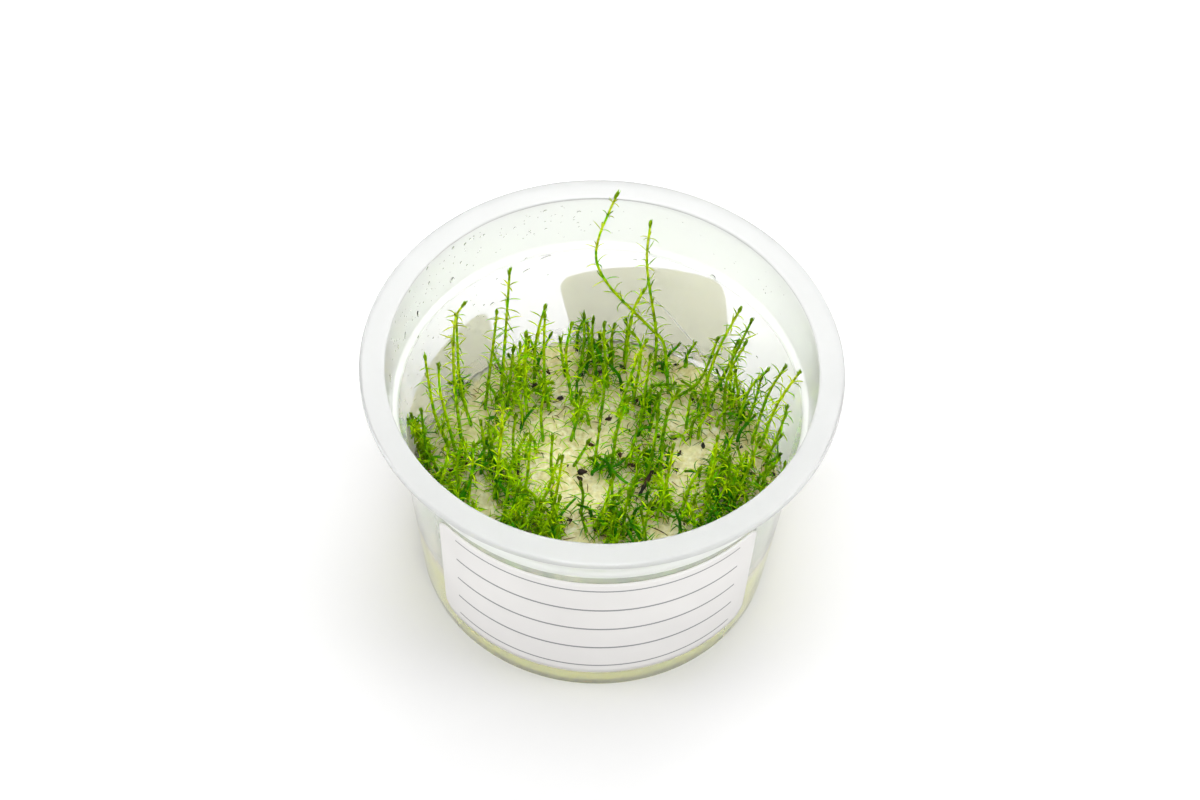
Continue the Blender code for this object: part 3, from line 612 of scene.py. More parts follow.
# The place of each shoot in the picture: how far its tip stands above the gel, then the pixels of its foot, of points
# on the way and of its tip.
seenShoots = (
    (33, (448, 445), (436, 418), (430, 390), (424.5, 353)), (28, (455, 449), (446, 415), (440, 390), (438.5, 362)),
    (48, (461, 437), (454, 375), (455, 322), (466, 301)), (40, (471, 424), (463, 398), (459, 372), (456, 312)),
    (36, (485, 408), (488, 385), (495, 330), (497, 308)), (46, (500, 402), (505, 340), (510, 267)),
    (22, (507, 409), (511, 370), (514, 345)), (21, (517, 398), (519, 365), (520.5, 341)),
    (29, (527, 412), (525, 385), (526, 330)), (33, (534, 388), (536, 342), (546, 303)),
    (26, (545, 400), (544, 350), (545, 312)), (29, (572, 403), (566, 355), (572.5, 321)),
    (21, (579, 372), (584, 340), (584, 311)), (20, (597, 377), (592, 345), (593.5, 316)),
    (22, (608, 386), (604, 340), (605, 320)),
    (51, (668, 388), (664, 345), (652, 330), (634, 312), (616, 294), (602, 275), (596, 257), (599, 237), (607, 217),
     (619, 190)),
    (42, (654, 374), (656, 333), (647, 265), (651, 219)), (32, (624, 372), (632, 315), (646, 287)),
    (29, (617, 415), (636, 362), (648, 338)), (24, (633, 402), (641, 350), (630, 330)),
    (41, (698, 412), (716, 355), (742, 306)), (26, (676, 398), (700, 380), (719, 336)),
    (36, (710, 400), (732, 360), (753, 318)), (31, (724, 428), (727, 380), (748, 339)),
    (24, (729, 404), (733, 355), (740, 339)), (27, (735, 430), (750, 389), (770, 368)),
    (20, (747, 424), (756, 398), (762, 375)), (32, (752, 442), (768, 395), (787, 364)),
    (37, (760, 447), (777, 405), (801, 370)), (25, (766, 462), (780, 430), (788, 404)),
    (20, (662, 442), (668, 412), (680, 388)), (14, (686, 428), (690, 400), (693, 392)),
    (23, (429, 468), (423, 425), (421, 407)), (17, (553, 482), (551, 460), (553, 434)),
    (16, (571, 440), (577, 420), (583, 396)), (14, (594, 468), (597, 445), (600, 425)),
    (26, (612, 463), (618, 425), (627, 395)), (19, (594, 528), (605, 505), (612, 478)),
    (12, (581, 512), (583, 495), (580, 480)), (34, (494, 497), (500, 450), (503, 402)),
    (21, (468, 500), (472, 470), (474, 440)), (25, (523, 506), (528, 470), (531, 434)),
    (14, (508, 524), (514, 505), (519, 486)), (26, (548, 530), (556, 495), (563, 454)),
    (17, (623, 538), (625, 512), (630, 488)), (26, (656, 520), (667, 480), (674, 442)),
    (17, (681, 512), (690, 486), (702, 466)), (25, (706, 506), (713, 470), (718, 434)),
    (24, (733, 500), (748, 470), (760, 436)))

# Smaller shoots among them that the frame doesn't hold, read off the picture in the same way.
smallShoots = (
    (16, (519, 378), (527, 355), (529.5, 335)), (14, (565, 374), (561, 350), (560, 336)),
    (16, (587, 364), (589, 345), (587, 321)), (17, (612, 368), (612, 335), (616, 322)),
    (9, (600, 361), (601, 344)), (16, (624, 361), (627, 330), (625, 317)), (18, (740, 414), (737, 385), (735, 365)),
    (12, (574, 466), (584, 450), (590, 438)), (10, (668, 392), (676, 382)), (11, (597, 360), (600, 332)),
    (22, (537, 510), (547, 492), (553, 475), (560, 455)), (13, (728, 490), (730, 455)), (14, (643, 535), (651, 500)),
    (13, (770, 452), (784, 433)), (9.5, (766, 466), (782, 453)), (19, (426, 450), (409, 412)),
    (12, (430, 456), (416, 432)), (11, (437, 470), (428, 448)), (24, (640, 425), (646, 385), (651, 352)),
    (20, (600, 420), (604, 390), (603, 362)), (17, (543, 440), (541, 412), (546, 385)),
    (18, (648, 470), (655, 440), (658, 412)), (16, (482, 470), (484, 445), (480, 418)),
    (15, (440, 488), (446, 462), (450, 440)), (19, (515, 470), (513, 440), (516, 412)),
    (15, (720, 476), (727, 450), (738, 428)), (14, (628, 506), (634, 482), (640, 462)),
    (14, (614, 440), (622, 415), (631, 396)), (12, (650, 430), (654, 410), (659, 392)),
    (14, (660, 452), (664, 430), (668, 408)), (11, (574, 422), (578, 402), (582, 388)),
    (21, (496, 492), (500, 440), (505, 396)), (13, (614, 511), (612, 490), (614, 473)),
    (8, (586, 530), (583, 520), (580, 510)), (11, (553, 530), (556, 512), (561, 494)))

# Bushy shoots among them, with short leaves set close.
bushyShoots = (
    (18, (428, 456), (419, 432), (411, 414)), (19, (430, 458), (420, 437), (409, 421)),
    (21, (426, 452), (415, 430), (406, 418)), (17, (508, 485), (513, 460), (528, 432)),
    (9, (508, 530), (512, 512), (518, 500)), (8, (522, 528), (525, 512), (528, 500)),
    (12, (548, 398), (545, 385), (540, 378)), (8, (636, 468), (640, 456), (648, 447)),
    (14, (728, 500), (738, 470), (748, 452)), (11, (700, 524), (706, 508), (710, 494)),
    (12, (462, 470), (466, 450), (462, 436)), (9, (598, 400), (594, 385), (596, 376)),
    (9, (476, 528), (474, 512), (472, 500)), (12, (516, 528), (520, 508), (524, 490)),
    (8, (536, 536), (540, 520), (545, 508)), (10, (610, 540), (612, 525), (616, 510)),
    (11, (560, 540), (556, 522), (552, 506)), (9, (455, 505), (452, 490), (448, 478)))

# Stems that run low over the gel: pixels at a small height above it.
runners = (
    (2.4, (592, 472), (603, 466), (615, 466), (628, 457)), (2.0, (607, 463), (616, 474), (629, 484), (642, 486)),
    (2.6, (497, 496), (501, 478), (500, 458)), (2.2, (556, 522), (566, 508), (578, 496)),
    (1.8, (648, 508), (664, 512), (678, 520)), (2.5, (455, 470), (462, 450), (460, 430)),
    (2.0, (707, 470), (722, 452), (728, 430)))

# The front of the gel is hidden in the picture. Its shoots stand on a golden-angle spiral.
unseen = {"count": 6, "middle": (0.0, -26.0), "spread": (24.0, 8.5), "tops": (15.0, 21.0)}

# The shoots of the frame, each on its own line from a small gap above the gel. The long ones are among the yellower.
shoots = {"seed": 21, "steps": 50, "footGap": 0.3, "chance": (0.15, 0.95), "long": 40.0, "longChance": 0.6}


def seenPath(top, pixels):
    pixels = np.array(pixels)
    steps = np.linalg.norm(np.diff(pixels, axis=0), axis=1)
    share = np.concatenate([[0.0], np.cumsum(steps)]) / steps.sum()
    foot = placeOf(pixels[0], gel["level"] + shoots["footGap"])[0]
    foot[2] = gelTop(foot[0], foot[1]) + shoots["footGap"]
    return np.vstack([foot, placeOf(pixels[1:], foot[2] + top * share[1:])])


def unseenPath(index):
    turn = goldenAngle * index
    reach = math.sqrt((index + 0.5) / unseen["count"])
    x = unseen["middle"][0] + unseen["spread"][0] * reach * math.cos(turn)
    y = unseen["middle"][1] + unseen["spread"][1] * reach * math.sin(turn)
    foot = np.array([x, y, gelTop(x, y) + shoots["footGap"]])
    lowTop, highTop = unseen["tops"]
    top = lowTop + (highTop - lowTop) * (0.5 + 0.5 * math.sin(2.0 * turn))
    sway = np.array([math.cos(3.0 * turn), math.sin(3.0 * turn), 0.0])
    up = top * upright
    return np.stack([foot, foot + 0.5 * up + 0.4 * sway, foot + up + 2.0 * sway])


# Milfoil tissue: smooth and a little glossy with light shining through it. The tone attribute says where a point is:
# red from stem 0 through leaf 0.3 and its tip 0.5 to bud 1, green from the gel 0 to topTone above it 1, blue a chance
# for each part.
def milfoilTissue():
    material, tree, shader = newMaterial("milfoilTissue", {
        "Roughness": 0.5, "IOR": 1.4, "Specular IOR Level": 0.1, "Subsurface Weight": 0.3,
        "Subsurface Radius": (0.7, 1.0, 0.05), "Subsurface Scale": 0.0006})
    tone = addNode(tree, "Attribute", {}, attribute_name="milfoilTone").outputs["Color"]
    part, height, chance = addNode(tree, "SeparateColor", {0: tone}).outputs
    stem = ramped(tree, height, (0.0, "#74A614"), (0.15, "#86B01A"), (0.45, "#90AC24"), (1.0, "#9CAA38"))
    leaf = ramped(tree, height, (0.0, "#A2D818"), (0.3, "#A2CA1C"), (1.0, "#94A026"))
    isLeaf = mapped(tree, part, 0.05, 0.3)
    isTip = mapped(tree, part, 0.36, 0.5, 0.0, 0.8)
    isBud = mapped(tree, part, 0.55, 0.95)
    isDark = mapped(tree, chance, 0.12, 0.30, 0.85, 0.0)
    green = mixed(tree, isLeaf, stem, mixed(tree, isTip, leaf, "#7C8014"))
    place = placeOn(tree)
    isPatch = mapped(tree, noise(tree, place, 330.0, 2.0), 0.48, 0.66, 0.0, 0.75)
    deep = mixed(tree, computed(tree, "MAXIMUM", isDark, isPatch), green, "#3E9200")
    tipped = mixed(tree, isBud, deep, "#5E8016")
    mottle = noise(tree, place, 700.0, 2.0)
    value = mapped(tree, mottle, 0.3, 0.7, 0.5, 1.6)
    strength = computed(tree, "MULTIPLY", value, mapped(tree, chance, 0.0, 1.0, 0.6, 1.4))
    hue = mapped(tree, chance, 0.0, 1.0, 0.518, 0.494)
    final = addNode(tree, "HueSaturation", {"Hue": hue, "Saturation": 1.07, "Value": strength, "Color": tipped})
    setInputs(tree, shader, {"Base Color": final.outputs[0]})
    addBump(tree, shader, mottle, 0.2, 0.0001)
    return material


# The tone of each point of a shape: its part, its height over the gel, and its chance.
def toneOf(points, part, chance):
    height = np.clip((points[:, 2] - gel["level"]) / growth["topTone"], 0.0, 1.0)
    return np.stack(np.broadcast_arrays(part, height, chance, 1.0), axis=-1)


# The part tone of n leaves: 0.3 at the base, rising evenly to 0.5 at the tip.
def leafPart(number, steps, sides):
    along = np.concatenate([np.repeat(np.linspace(0.3, 0.5, steps), sides), [0.3, 0.5]])
    return np.tile(along, number)


# Directions square to each axis: across is +X made square to it, and outward turns round from there by an angle.
def squareTo(axis, turn):
    across = np.array([1.0, 0.0, 0.0]) - axis * axis[:, :1]
    across /= np.linalg.norm(across, axis=1, keepdims=True)
    return np.cos(turn)[:, None] * across + np.sin(turn)[:, None] * np.cross(axis, across)


# Leaves: each starts at its base, heads outward and up at its rise, and bends evenly to its droop as it goes, so its
# angle is rise + (droop - rise) t and its line the running sum of cos(angle) outward + sin(angle) up. It veers a
# little sideways too. Half width = width (0.6 + 0.4 sin(pi t)) (1 - 0.8 t^4), which ends in a fine tip. What would
# reach through the wall is drawn in to it.
def leafShape(base, outward, up, length, rise, droop, veer, width, steps, sides):
    t = np.linspace(0.0, 1.0, steps)
    angle = rise[:, None] + (droop - rise)[:, None] * t
    side = np.cross(outward, up)
    heading = np.cos(angle)[..., None] * outward[:, None] + np.sin(angle)[..., None] * up[:, None]
    heading = heading + (veer[:, None] * t)[..., None] * side[:, None]
    step = length[:, None, None] / (steps - 1) * heading
    lines = base[:, None] + np.concatenate([np.zeros_like(step[:, :1]), np.cumsum(step[:, 1:], axis=1)], axis=1)
    lines = keptInside(lines, growth["leafMargin"])
    lines[..., 2] = np.maximum(lines[..., 2], gel["level"] + growth["overGel"])
    wide = width[:, None] * (0.6 + 0.4 * np.sin(np.pi * t)) * (1.0 - 0.8 * t ** 4)
    return sweptTubes(lines, wide, 0.7 * wide, side, sides)


# The whorls of three or four leaves at these distances along a shoot, and their tone.
def whorlLeaves(line, length, distances, habit, rng, chance):
    counts = np.where(rng.random(len(distances)) < growth["fourLeaves"], 4, 3)
    whorl = np.repeat(np.arange(len(distances)), counts)
    order = np.concatenate([np.arange(n) / n for n in counts])
    number = len(whorl)

    def spread(name):
        return rng.uniform(*growth[name], number)

    def grownTo(name):
        return np.interp(grown, [0.0, 1.0], habit[name])

    at = distances[whorl]
    grown = at / length
    reach = growth["nodeReach"]
    axis = pointsAlong(line, np.minimum(at + reach, length)) - pointsAlong(line, at - reach)
    axis /= np.linalg.norm(axis, axis=1, keepdims=True)
    turn = 2.0 * np.pi * order + 0.5 * goldenAngle * whorl + spread("turnSpread") + 6.0 * chance
    outward = squareTo(axis, turn)
    base = pointsAlong(line, at) + outward * (0.7 * grownTo("stem"))[:, None]
    leafLength = grownTo("leafLength") * spread("lengthSpread")
    part = growth["topPart"]
    leafLength *= 1.0 - growth["topShorter"] * np.clip((grown - (1.0 - part)) / part, 0.0, 1.0)
    rise = np.radians(grownTo("rise") + spread("riseSpread"))
    droop = np.radians(grownTo("droop") + spread("droopSpread"))
    width = habit["leafWidth"] * spread("widthSpread")
    leaves = leafShape(base, outward, axis, leafLength, rise, droop, spread("veerSpread"), width,
                       habit["leafSteps"], habit["leafSides"])
    leafChance = np.repeat(np.clip(chance + spread("chanceSpread"), 0.0, 1.0), len(leaves[0]) // number)
    return leaves, toneOf(leaves[0], leafPart(number, habit["leafSteps"], habit["leafSides"]), leafChance)


# The bud at the end of a shoot: a core with young leaves closed round it.
def closedBud(line, length, bud, habit, rng, chance):
    t = np.linspace(0.0, 1.0, 7)
    core = pointsAlong(line, length - bud + t * 0.93 * bud)
    coreRadius = habit["bud"] * np.interp(t, [0.0, 0.35, 0.7, 0.92, 1.0], [0.72, 0.92, 0.86, 0.5, 0.2])
    body = sweptTube(core, coreRadius, (1.0, 0.0, 0.0), 8)
    young = habit["youngLeaves"]
    axis = np.repeat((core[-1] - core[0])[None] / np.linalg.norm(core[-1] - core[0]), young, axis=0)
    outward = squareTo(axis, goldenAngle * np.arange(young) + 6.0 * chance)
    start = rng.uniform(-0.1, 0.5, young)
    base = core[0] + axis * (start * bud)[:, None] + outward * (0.6 * habit["bud"])
    scales = leafShape(base, outward, axis, bud * rng.uniform(0.45, 0.75, young),
                       np.radians(rng.uniform(62.0, 80.0, young)), np.radians(rng.uniform(84.0, 104.0, young)),
                       np.zeros(young), np.full(young, 0.42 * habit["bud"]), 5, 4)
    scaleChance = np.clip(chance + rng.uniform(-0.1, 0.4, young), 0.3, 1.0)
    return ((body, toneOf(body[0], 0.9, max(chance, 0.3))),
            (scales, toneOf(scales[0], 1.0, np.repeat(scaleChance, len(scales[0]) // young))))


# A shoot on its line: a round stem with a swelling at each node, whorls of leaves and where wanted the bud.
def dressedShoot(line, habit, rng, chance, withBud=True):
    line = keptInside(line, growth["stemMargin"])
    length = lineLength(line)
    bud = min(habit["budLength"], growth["budShare"] * length)
    at = np.linspace(0.0, length - 0.5 * bud, max(6, int(length / habit["rowSpacing"])))
    stemLine = np.vstack([line[0] - [0.0, 0.0, habit["root"]], pointsAlong(line, at)])
    radius = np.interp(np.concatenate([[0.0], at / length]), [0.0, 1.0], habit["stem"])
    distances, distance = [], habit["firstWhorl"]
    while distance < length - 1.1 * bud:
        distances.append(distance)
        spacing = np.interp(growth["crowdsFaster"] * distance / length, [0.0, 1.0], habit["whorl"])
        distance += spacing * rng.uniform(*growth["whorlSpread"])
    distances = np.array(distances)
    fromNode = np.concatenate([[-9.0], at])[:, None] - distances
    radius = radius * (1.0 + growth["nodeSwell"] * np.exp(-(fromNode / growth["nodeReach"]) ** 2).sum(axis=1))
    stem = sweptTube(stemLine, radius, (1.0, 0.0, 0.0), habit["stemSides"])
    parts = [(stem, toneOf(stem[0], 0.0, chance)), whorlLeaves(line, length, distances, habit, rng, chance)]
    if withBud:
        parts.extend(closedBud(line, length, bud, habit, rng, chance))
    shapes, tones = zip(*parts)
    return joinShapes(shapes), np.concatenate(tones)


def makeShoots(tissue):
    rng = np.random.default_rng(shoots["seed"])
    paths = [seenPath(top, pixels) for top, *pixels in seenShoots] + [unseenPath(k) for k in range(unseen["count"])]
    for number, path in enumerate(paths, 1):
        line = smoothLine(path, max(4, round(shoots["steps"] / (len(path) - 1))))
        chance = rng.uniform(*shoots["chance"])
        if lineLength(line) >= shoots["long"]:
            chance = max(chance, shoots["longChance"])
        shape, tone = dressedShoot(line, tall, rng, chance)
        addPiece("milfoil_%02d" % number, shape, [tissue], ["shoot_%02d" % number], tone=tone)
    print("shoots:", len(paths))


tissue = milfoilTissue()
makeShoots(tissue)

# The crowd between the shoots: tufts on a golden-angle spiral, jogged by chance. bare gives the spots where the
# picture shows the gel, as pixels with a reach in millimetres. A tuft stays out if it would hide one. A share stays
# out too in front, where the cup's wall shows pale gel behind it, and at the back.
crowd = {"count": 700, "reach": 39.0, "tops": (4.5, 13.5), "innerTops": 0.75, "lean": 4.5, "jog": 1.8, "lift": 0.1,
         "seed": 5, "sectors": 5, "smallChance": (0.35, 0.9), "bushyChance": (0.45, 0.95), "runnerChance": (0.0, 0.2),
         "darkShare": 0.34, "darkChance": (0.0, 0.12), "lightChance": (0.3, 1.0), "bareMargin": 0.9,
         "frontTo": -24.0, "frontOut": 0.45, "backFrom": 6.0, "backOut": 0.58,
         "bare": (
             (564, 428, 2.3), (608, 434, 1.7), (606, 449, 1.7), (569, 458, 1.8), (541, 473, 3.3), (572, 491, 2.0),
             (597, 494, 3.0), (692, 457, 3.1), (681, 481, 1.8), (657, 528, 3.2), (678, 414, 3.5), (486, 502, 2.6),
             (482, 488, 1.4), (438, 440, 1.5), (575, 531, 2.6), (514, 441, 1.3), (473, 410, 2.4), (630, 352, 1.4),
             (555, 365, 2.2), (440, 466, 1.6), (651, 356, 1.5), (612, 406, 1.3), (560, 400, 1.5), (617, 484, 1.6),
             (640, 372, 1.2))}


# The bare spots as places on the gel, and their reaches.
def bareSpots():
    bare = np.array(crowd["bare"])
    return placeOf(bare[:, :2], np.full(len(bare), gel["level"]))[:, :2], bare[:, 2]


def makeCrowd(tissue):
    rng = np.random.default_rng(crowd["seed"])
    spots, spotReach = bareSpots()
    overGel = 1.0 / math.tan(math.radians(view["pitch"]))
    grown, places = [], []
    for kind, habit, steps, chances in (
            (smallShoots, tall, 16, "smallChance"), (bushyShoots, bushy, 12, "bushyChance")):
        for top, *pixels in kind:
            line = smoothLine(seenPath(top, pixels), steps)
            grown.append(dressedShoot(line, habit, rng, rng.uniform(*crowd[chances])))
            places.append(line[0])
    for height, *pixels in runners:
        line = smoothLine(placeOf(pixels, gel["level"] + height + np.sin(np.arange(len(pixels)))), 10)
        grown.append(dressedShoot(line, tuft, rng, rng.uniform(*crowd["runnerChance"]), False))
        places.append(line[0])
    for number in range(crowd["count"]):
        reach = crowd["reach"] * math.sqrt((number + 0.5) / crowd["count"])
        turn = goldenAngle * number
        foot = np.array([reach * math.cos(turn), reach * math.sin(turn), 0.0])
        foot[:2] += rng.uniform(-crowd["jog"], crowd["jog"], 2)
        inner = crowd["innerTops"]
        top = rng.uniform(*crowd["tops"]) * (inner + (1.0 - inner) * reach / crowd["reach"])
        lean = np.array([*rng.uniform(-crowd["lean"], crowd["lean"], 2), top])
        chance = rng.uniform(*crowd["darkChance" if rng.random() < crowd["darkShare"] else "lightChance"])
        hides = lean[:2] + [0.0, top * overGel]
        share = np.clip((spots - foot[:2]) @ hides / (hides @ hides), 0.0, 1.0)
        away = np.linalg.norm(spots - foot[:2] - share[:, None] * hides, axis=1)
        if (away < spotReach + crowd["bareMargin"]).any() or math.hypot(foot[0], foot[1]) > crowd["reach"]:
            continue
        drawn = rng.random()
        if (foot[1] < crowd["frontTo"] and drawn < crowd["frontOut"]) or (
                foot[1] > crowd["backFrom"] and drawn < crowd["backOut"]):
            continue
        foot[2] = gelTop(foot[0], foot[1]) + crowd["lift"]
        line = smoothLine(np.stack([foot, foot + lean * [0.2, 0.2, 0.5], foot + lean]), 8)
        grown.append(dressedShoot(line, tuft, rng, chance))
        places.append(foot)
    places = np.array(places)
    sector = np.arctan2(places[:, 1], places[:, 0]) % (2.0 * np.pi) / (2.0 * np.pi) * crowd["sectors"]
    for part in range(crowd["sectors"]):
        shapes, tones = zip(*[grown[k] for k in np.flatnonzero(sector.astype(int) == part)])
        addPiece("crowd_%d" % (part + 1), joinShapes(shapes), [tissue], tone=np.concatenate(tones))
    print("tufts:", len(grown))
    return places


feet = makeCrowd(tissue)

# Loose leaves that lie about on the gel, green, browned or dried: each lands near the foot of a shoot.
litter = {"count": 1800, "dried": 0.36, "scatter": 2.3, "frontFrom": -30.0, "length": (1.2, 3.6),
          "width": (0.1, 0.17), "lift": (0.15, 0.9), "rise": (0.0, 70.0), "veer": (-1.4, 1.4), "steps": 7, "sides": 3,
          "wallMargin": 1.0, "bareShare": 0.75, "seed": 8}


# Dead plant tissue: matt, with patches of colour from one noise and where wanted a relief from it.
def deadTissue(name, roughness, gloss, scale, stops, relief=0.0):
    material, tree, shader = newMaterial(name, {"Roughness": roughness, "Specular IOR Level": gloss})
    patch = noise(tree, placeOn(tree), scale, 3.0)
    setInputs(tree, shader, {"Base Color": ramped(tree, patch, *stops)})
    if relief:
        addBump(tree, shader, patch, relief, 0.0003)
    return material


# Dried leaves, olive to tan.
def driedLeaf():
    return deadTissue("driedLeaf", 0.65, 0.3, 240.0, (
        (0.36, "#2C360A"), (0.48, "#5A6610"), (0.58, "#74541C"), (0.70, "#9C7634")))


# Withered tissue, nearly black where it has rotted and brown where it has dried.
def witheredTissue():
    return deadTissue("witheredTissue", 0.7, 0.35, 260.0, (
        (0.42, "#17150D"), (0.58, "#3A2110"), (0.72, "#7A4318")), 0.5)


def makeLitter(tissue):
    rng = np.random.default_rng(litter["seed"])
    spots, spotReach = bareSpots()
    base = feet[rng.integers(0, len(feet), litter["count"])] + [0.0, 0.0, 0.3]
    base[:, :2] += rng.normal(0.0, litter["scatter"], (len(base), 2))
    away = np.linalg.norm(base[:, None, :2] - spots, axis=2) - litter["bareShare"] * spotReach
    base = base[(away.min(axis=1) > 0.0) & (base[:, 1] > litter["frontFrom"])]
    base = keptInside(base, litter["wallMargin"])
    number = len(base)
    base[:, 2] = gelTop(base[:, 0], base[:, 1]) + rng.uniform(*litter["lift"], number)
    outward = roundAxis(1.0, rng.uniform(0.0, 2.0 * np.pi, number), 0.0)
    rise = np.radians(rng.uniform(*litter["rise"], number))
    points, quads, triangles = leafShape(
        base, outward, np.broadcast_to(upright, (number, 3)), rng.uniform(*litter["length"], number), rise,
        -rise * rng.uniform(0.4, 1.6, number), rng.uniform(*litter["veer"], number),
        rng.uniform(*litter["width"], number), litter["steps"], litter["sides"])
    dried = int(litter["dried"] * number)
    green = number - dried
    split = len(points) // number * dried
    brownShape = (points[:split], *(faces[faces.max(axis=1) < split] for faces in (quads, triangles)))
    greenShape = (points[split:], *(faces[faces.min(axis=1) >= split] - split for faces in (quads, triangles)))
    chance = np.repeat(rng.uniform(0.0, 1.0, green), len(greenShape[0]) // green)
    addPiece("looseLeaves", greenShape, [tissue],
             tone=toneOf(greenShape[0], leafPart(green, litter["steps"], litter["sides"]), chance))
    addPiece("driedLeaves", brownShape, [driedLeaf()])
    print("loose leaves:", number)


makeLitter(tissue)


# Blobs: ellipsoids at n centres, each point = centre + sin p cos q a + sin p sin q b + cos p c, with p from the far
# pole to the near one. Behind the middle c is cut to a share, for drops that sit flat.
def blobShapes(centres, a, b, c, rows, columns, behind=1.0, rough=0.0):
    p = np.linspace(np.pi, 0.0, rows + 2)[:, None]
    q = 2.0 * np.pi * np.arange(columns) / columns
    depth = np.where(np.cos(p) < 0.0, behind, 1.0) * np.cos(p)
    parts = np.stack([np.sin(p) * np.cos(q), np.sin(p) * np.sin(q), np.broadcast_to(depth, (rows + 2, columns))])
    poles = np.array([[0.0, 0.0, -behind], [0.0, 0.0, 1.0]]).T
    parts = np.concatenate([parts[:, 1:-1].reshape(3, -1), poles], axis=1)
    local = parts[0][:, None] * a[:, None] + parts[1][:, None] * b[:, None] + parts[2][:, None] * c[:, None]
    if rough:
        local *= 1.0 + rough * np.sin(9.0 * local.sum(axis=2, keepdims=True) + 5.0 * local[..., :1])
    return (centres[:, None] + local).reshape(-1, 3), *cappedFaces(len(centres), rows, columns)


# Dead bits. spots: the pixel of each in the picture, its height above the gel and its size in millimetres. lying: a
# radius, heights above the gel and the pixels of a rotted stem or a root. A lump has a size and a shift, as shares.
dead = {"seed": 12, "lift": 0.3, "lumps": ((1.0, 0.0), (0.65, 0.9)), "slim": 0.7, "rough": 0.25,
        "crumbs": 170, "crumbScatter": 1.2, "crumbLift": (0.3, 3.5), "crumbSize": (0.2, 0.55), "wallMargin": 1.2,
        "strands": 4, "curl": 2.2, "climb": (-0.35, 0.6), "step": (0.25, 0.55), "strandLift": 0.25,
        "strandWidth": (0.08, 0.14),
        "lying": (
            (0.5, (5.0, 3.6, 2.4, 1.2), (652, 470), (648, 479), (643, 488), (639, 497)),
            (0.3, (5.0, 3.5, 1.5), (518, 463), (518, 474), (517, 486)),
            (0.13, (1.6, 0.9, 0.4, 0.3), (650, 512), (656, 517), (664, 518), (668, 524)),
            (0.12, (1.4, 0.8, 0.4, 0.3), (648, 526), (656, 529), (664, 533), (669, 537)),
            (0.12, (1.2, 0.7, 0.5), (655, 515), (648, 520), (644, 527)),
            (0.12, (1.0, 0.5, 0.3), (540, 395), (552, 402), (562, 400)),
            (0.11, (1.0, 0.5, 0.4), (556, 408), (548, 415), (541, 424)),
            (0.12, (1.8, 0.9, 0.6), (556, 356), (562, 361), (572, 362))),
        "spots": (
            (502, 371, 5, 0.75), (581, 375, 6, 0.6), (593, 361, 4, 0.5), (622, 367, 5, 0.6), (483, 403, 2, 0.45),
            (495, 418, 2, 0.5), (561, 398, 5, 0.65), (609, 419, 3, 0.6), (591, 445, 2, 0.6), (599, 457, 1, 0.6),
            (620, 455, 2, 0.65), (638, 450, 3, 0.7), (633, 465, 2, 0.6), (658, 436, 2, 0.5), (484, 457, 2, 0.6),
            (487, 440, 3, 0.6), (465, 462, 2, 0.8), (451, 471, 1, 0.55), (507, 478, 1, 0.6), (518, 480, 1, 0.6),
            (581, 472, 3, 0.85), (580, 479, 2, 0.7), (537, 519, 2, 0.9), (594, 518, 1, 0.5), (463, 496, 2, 0.5),
            (674, 438, 2, 0.6), (679, 454, 3, 0.6), (703, 446, 3, 0.6), (720, 460, 3, 0.6), (706, 495, 1, 0.6),
            (688, 494, 2, 0.6), (670, 502, 1, 0.5), (652, 507, 2, 0.5), (613, 515, 1, 0.5), (752, 474, 3, 0.6),
            (708, 424, 4, 0.5), (693, 400, 2, 0.5), (765, 484, 2, 0.6), (535, 385, 5, 0.6), (645, 405, 3, 0.5),
            (570, 520, 1, 0.5), (600, 372, 6, 0.5), (548, 372, 3, 0.5), (676, 470, 2, 0.6), (509, 493, 2, 0.5))}


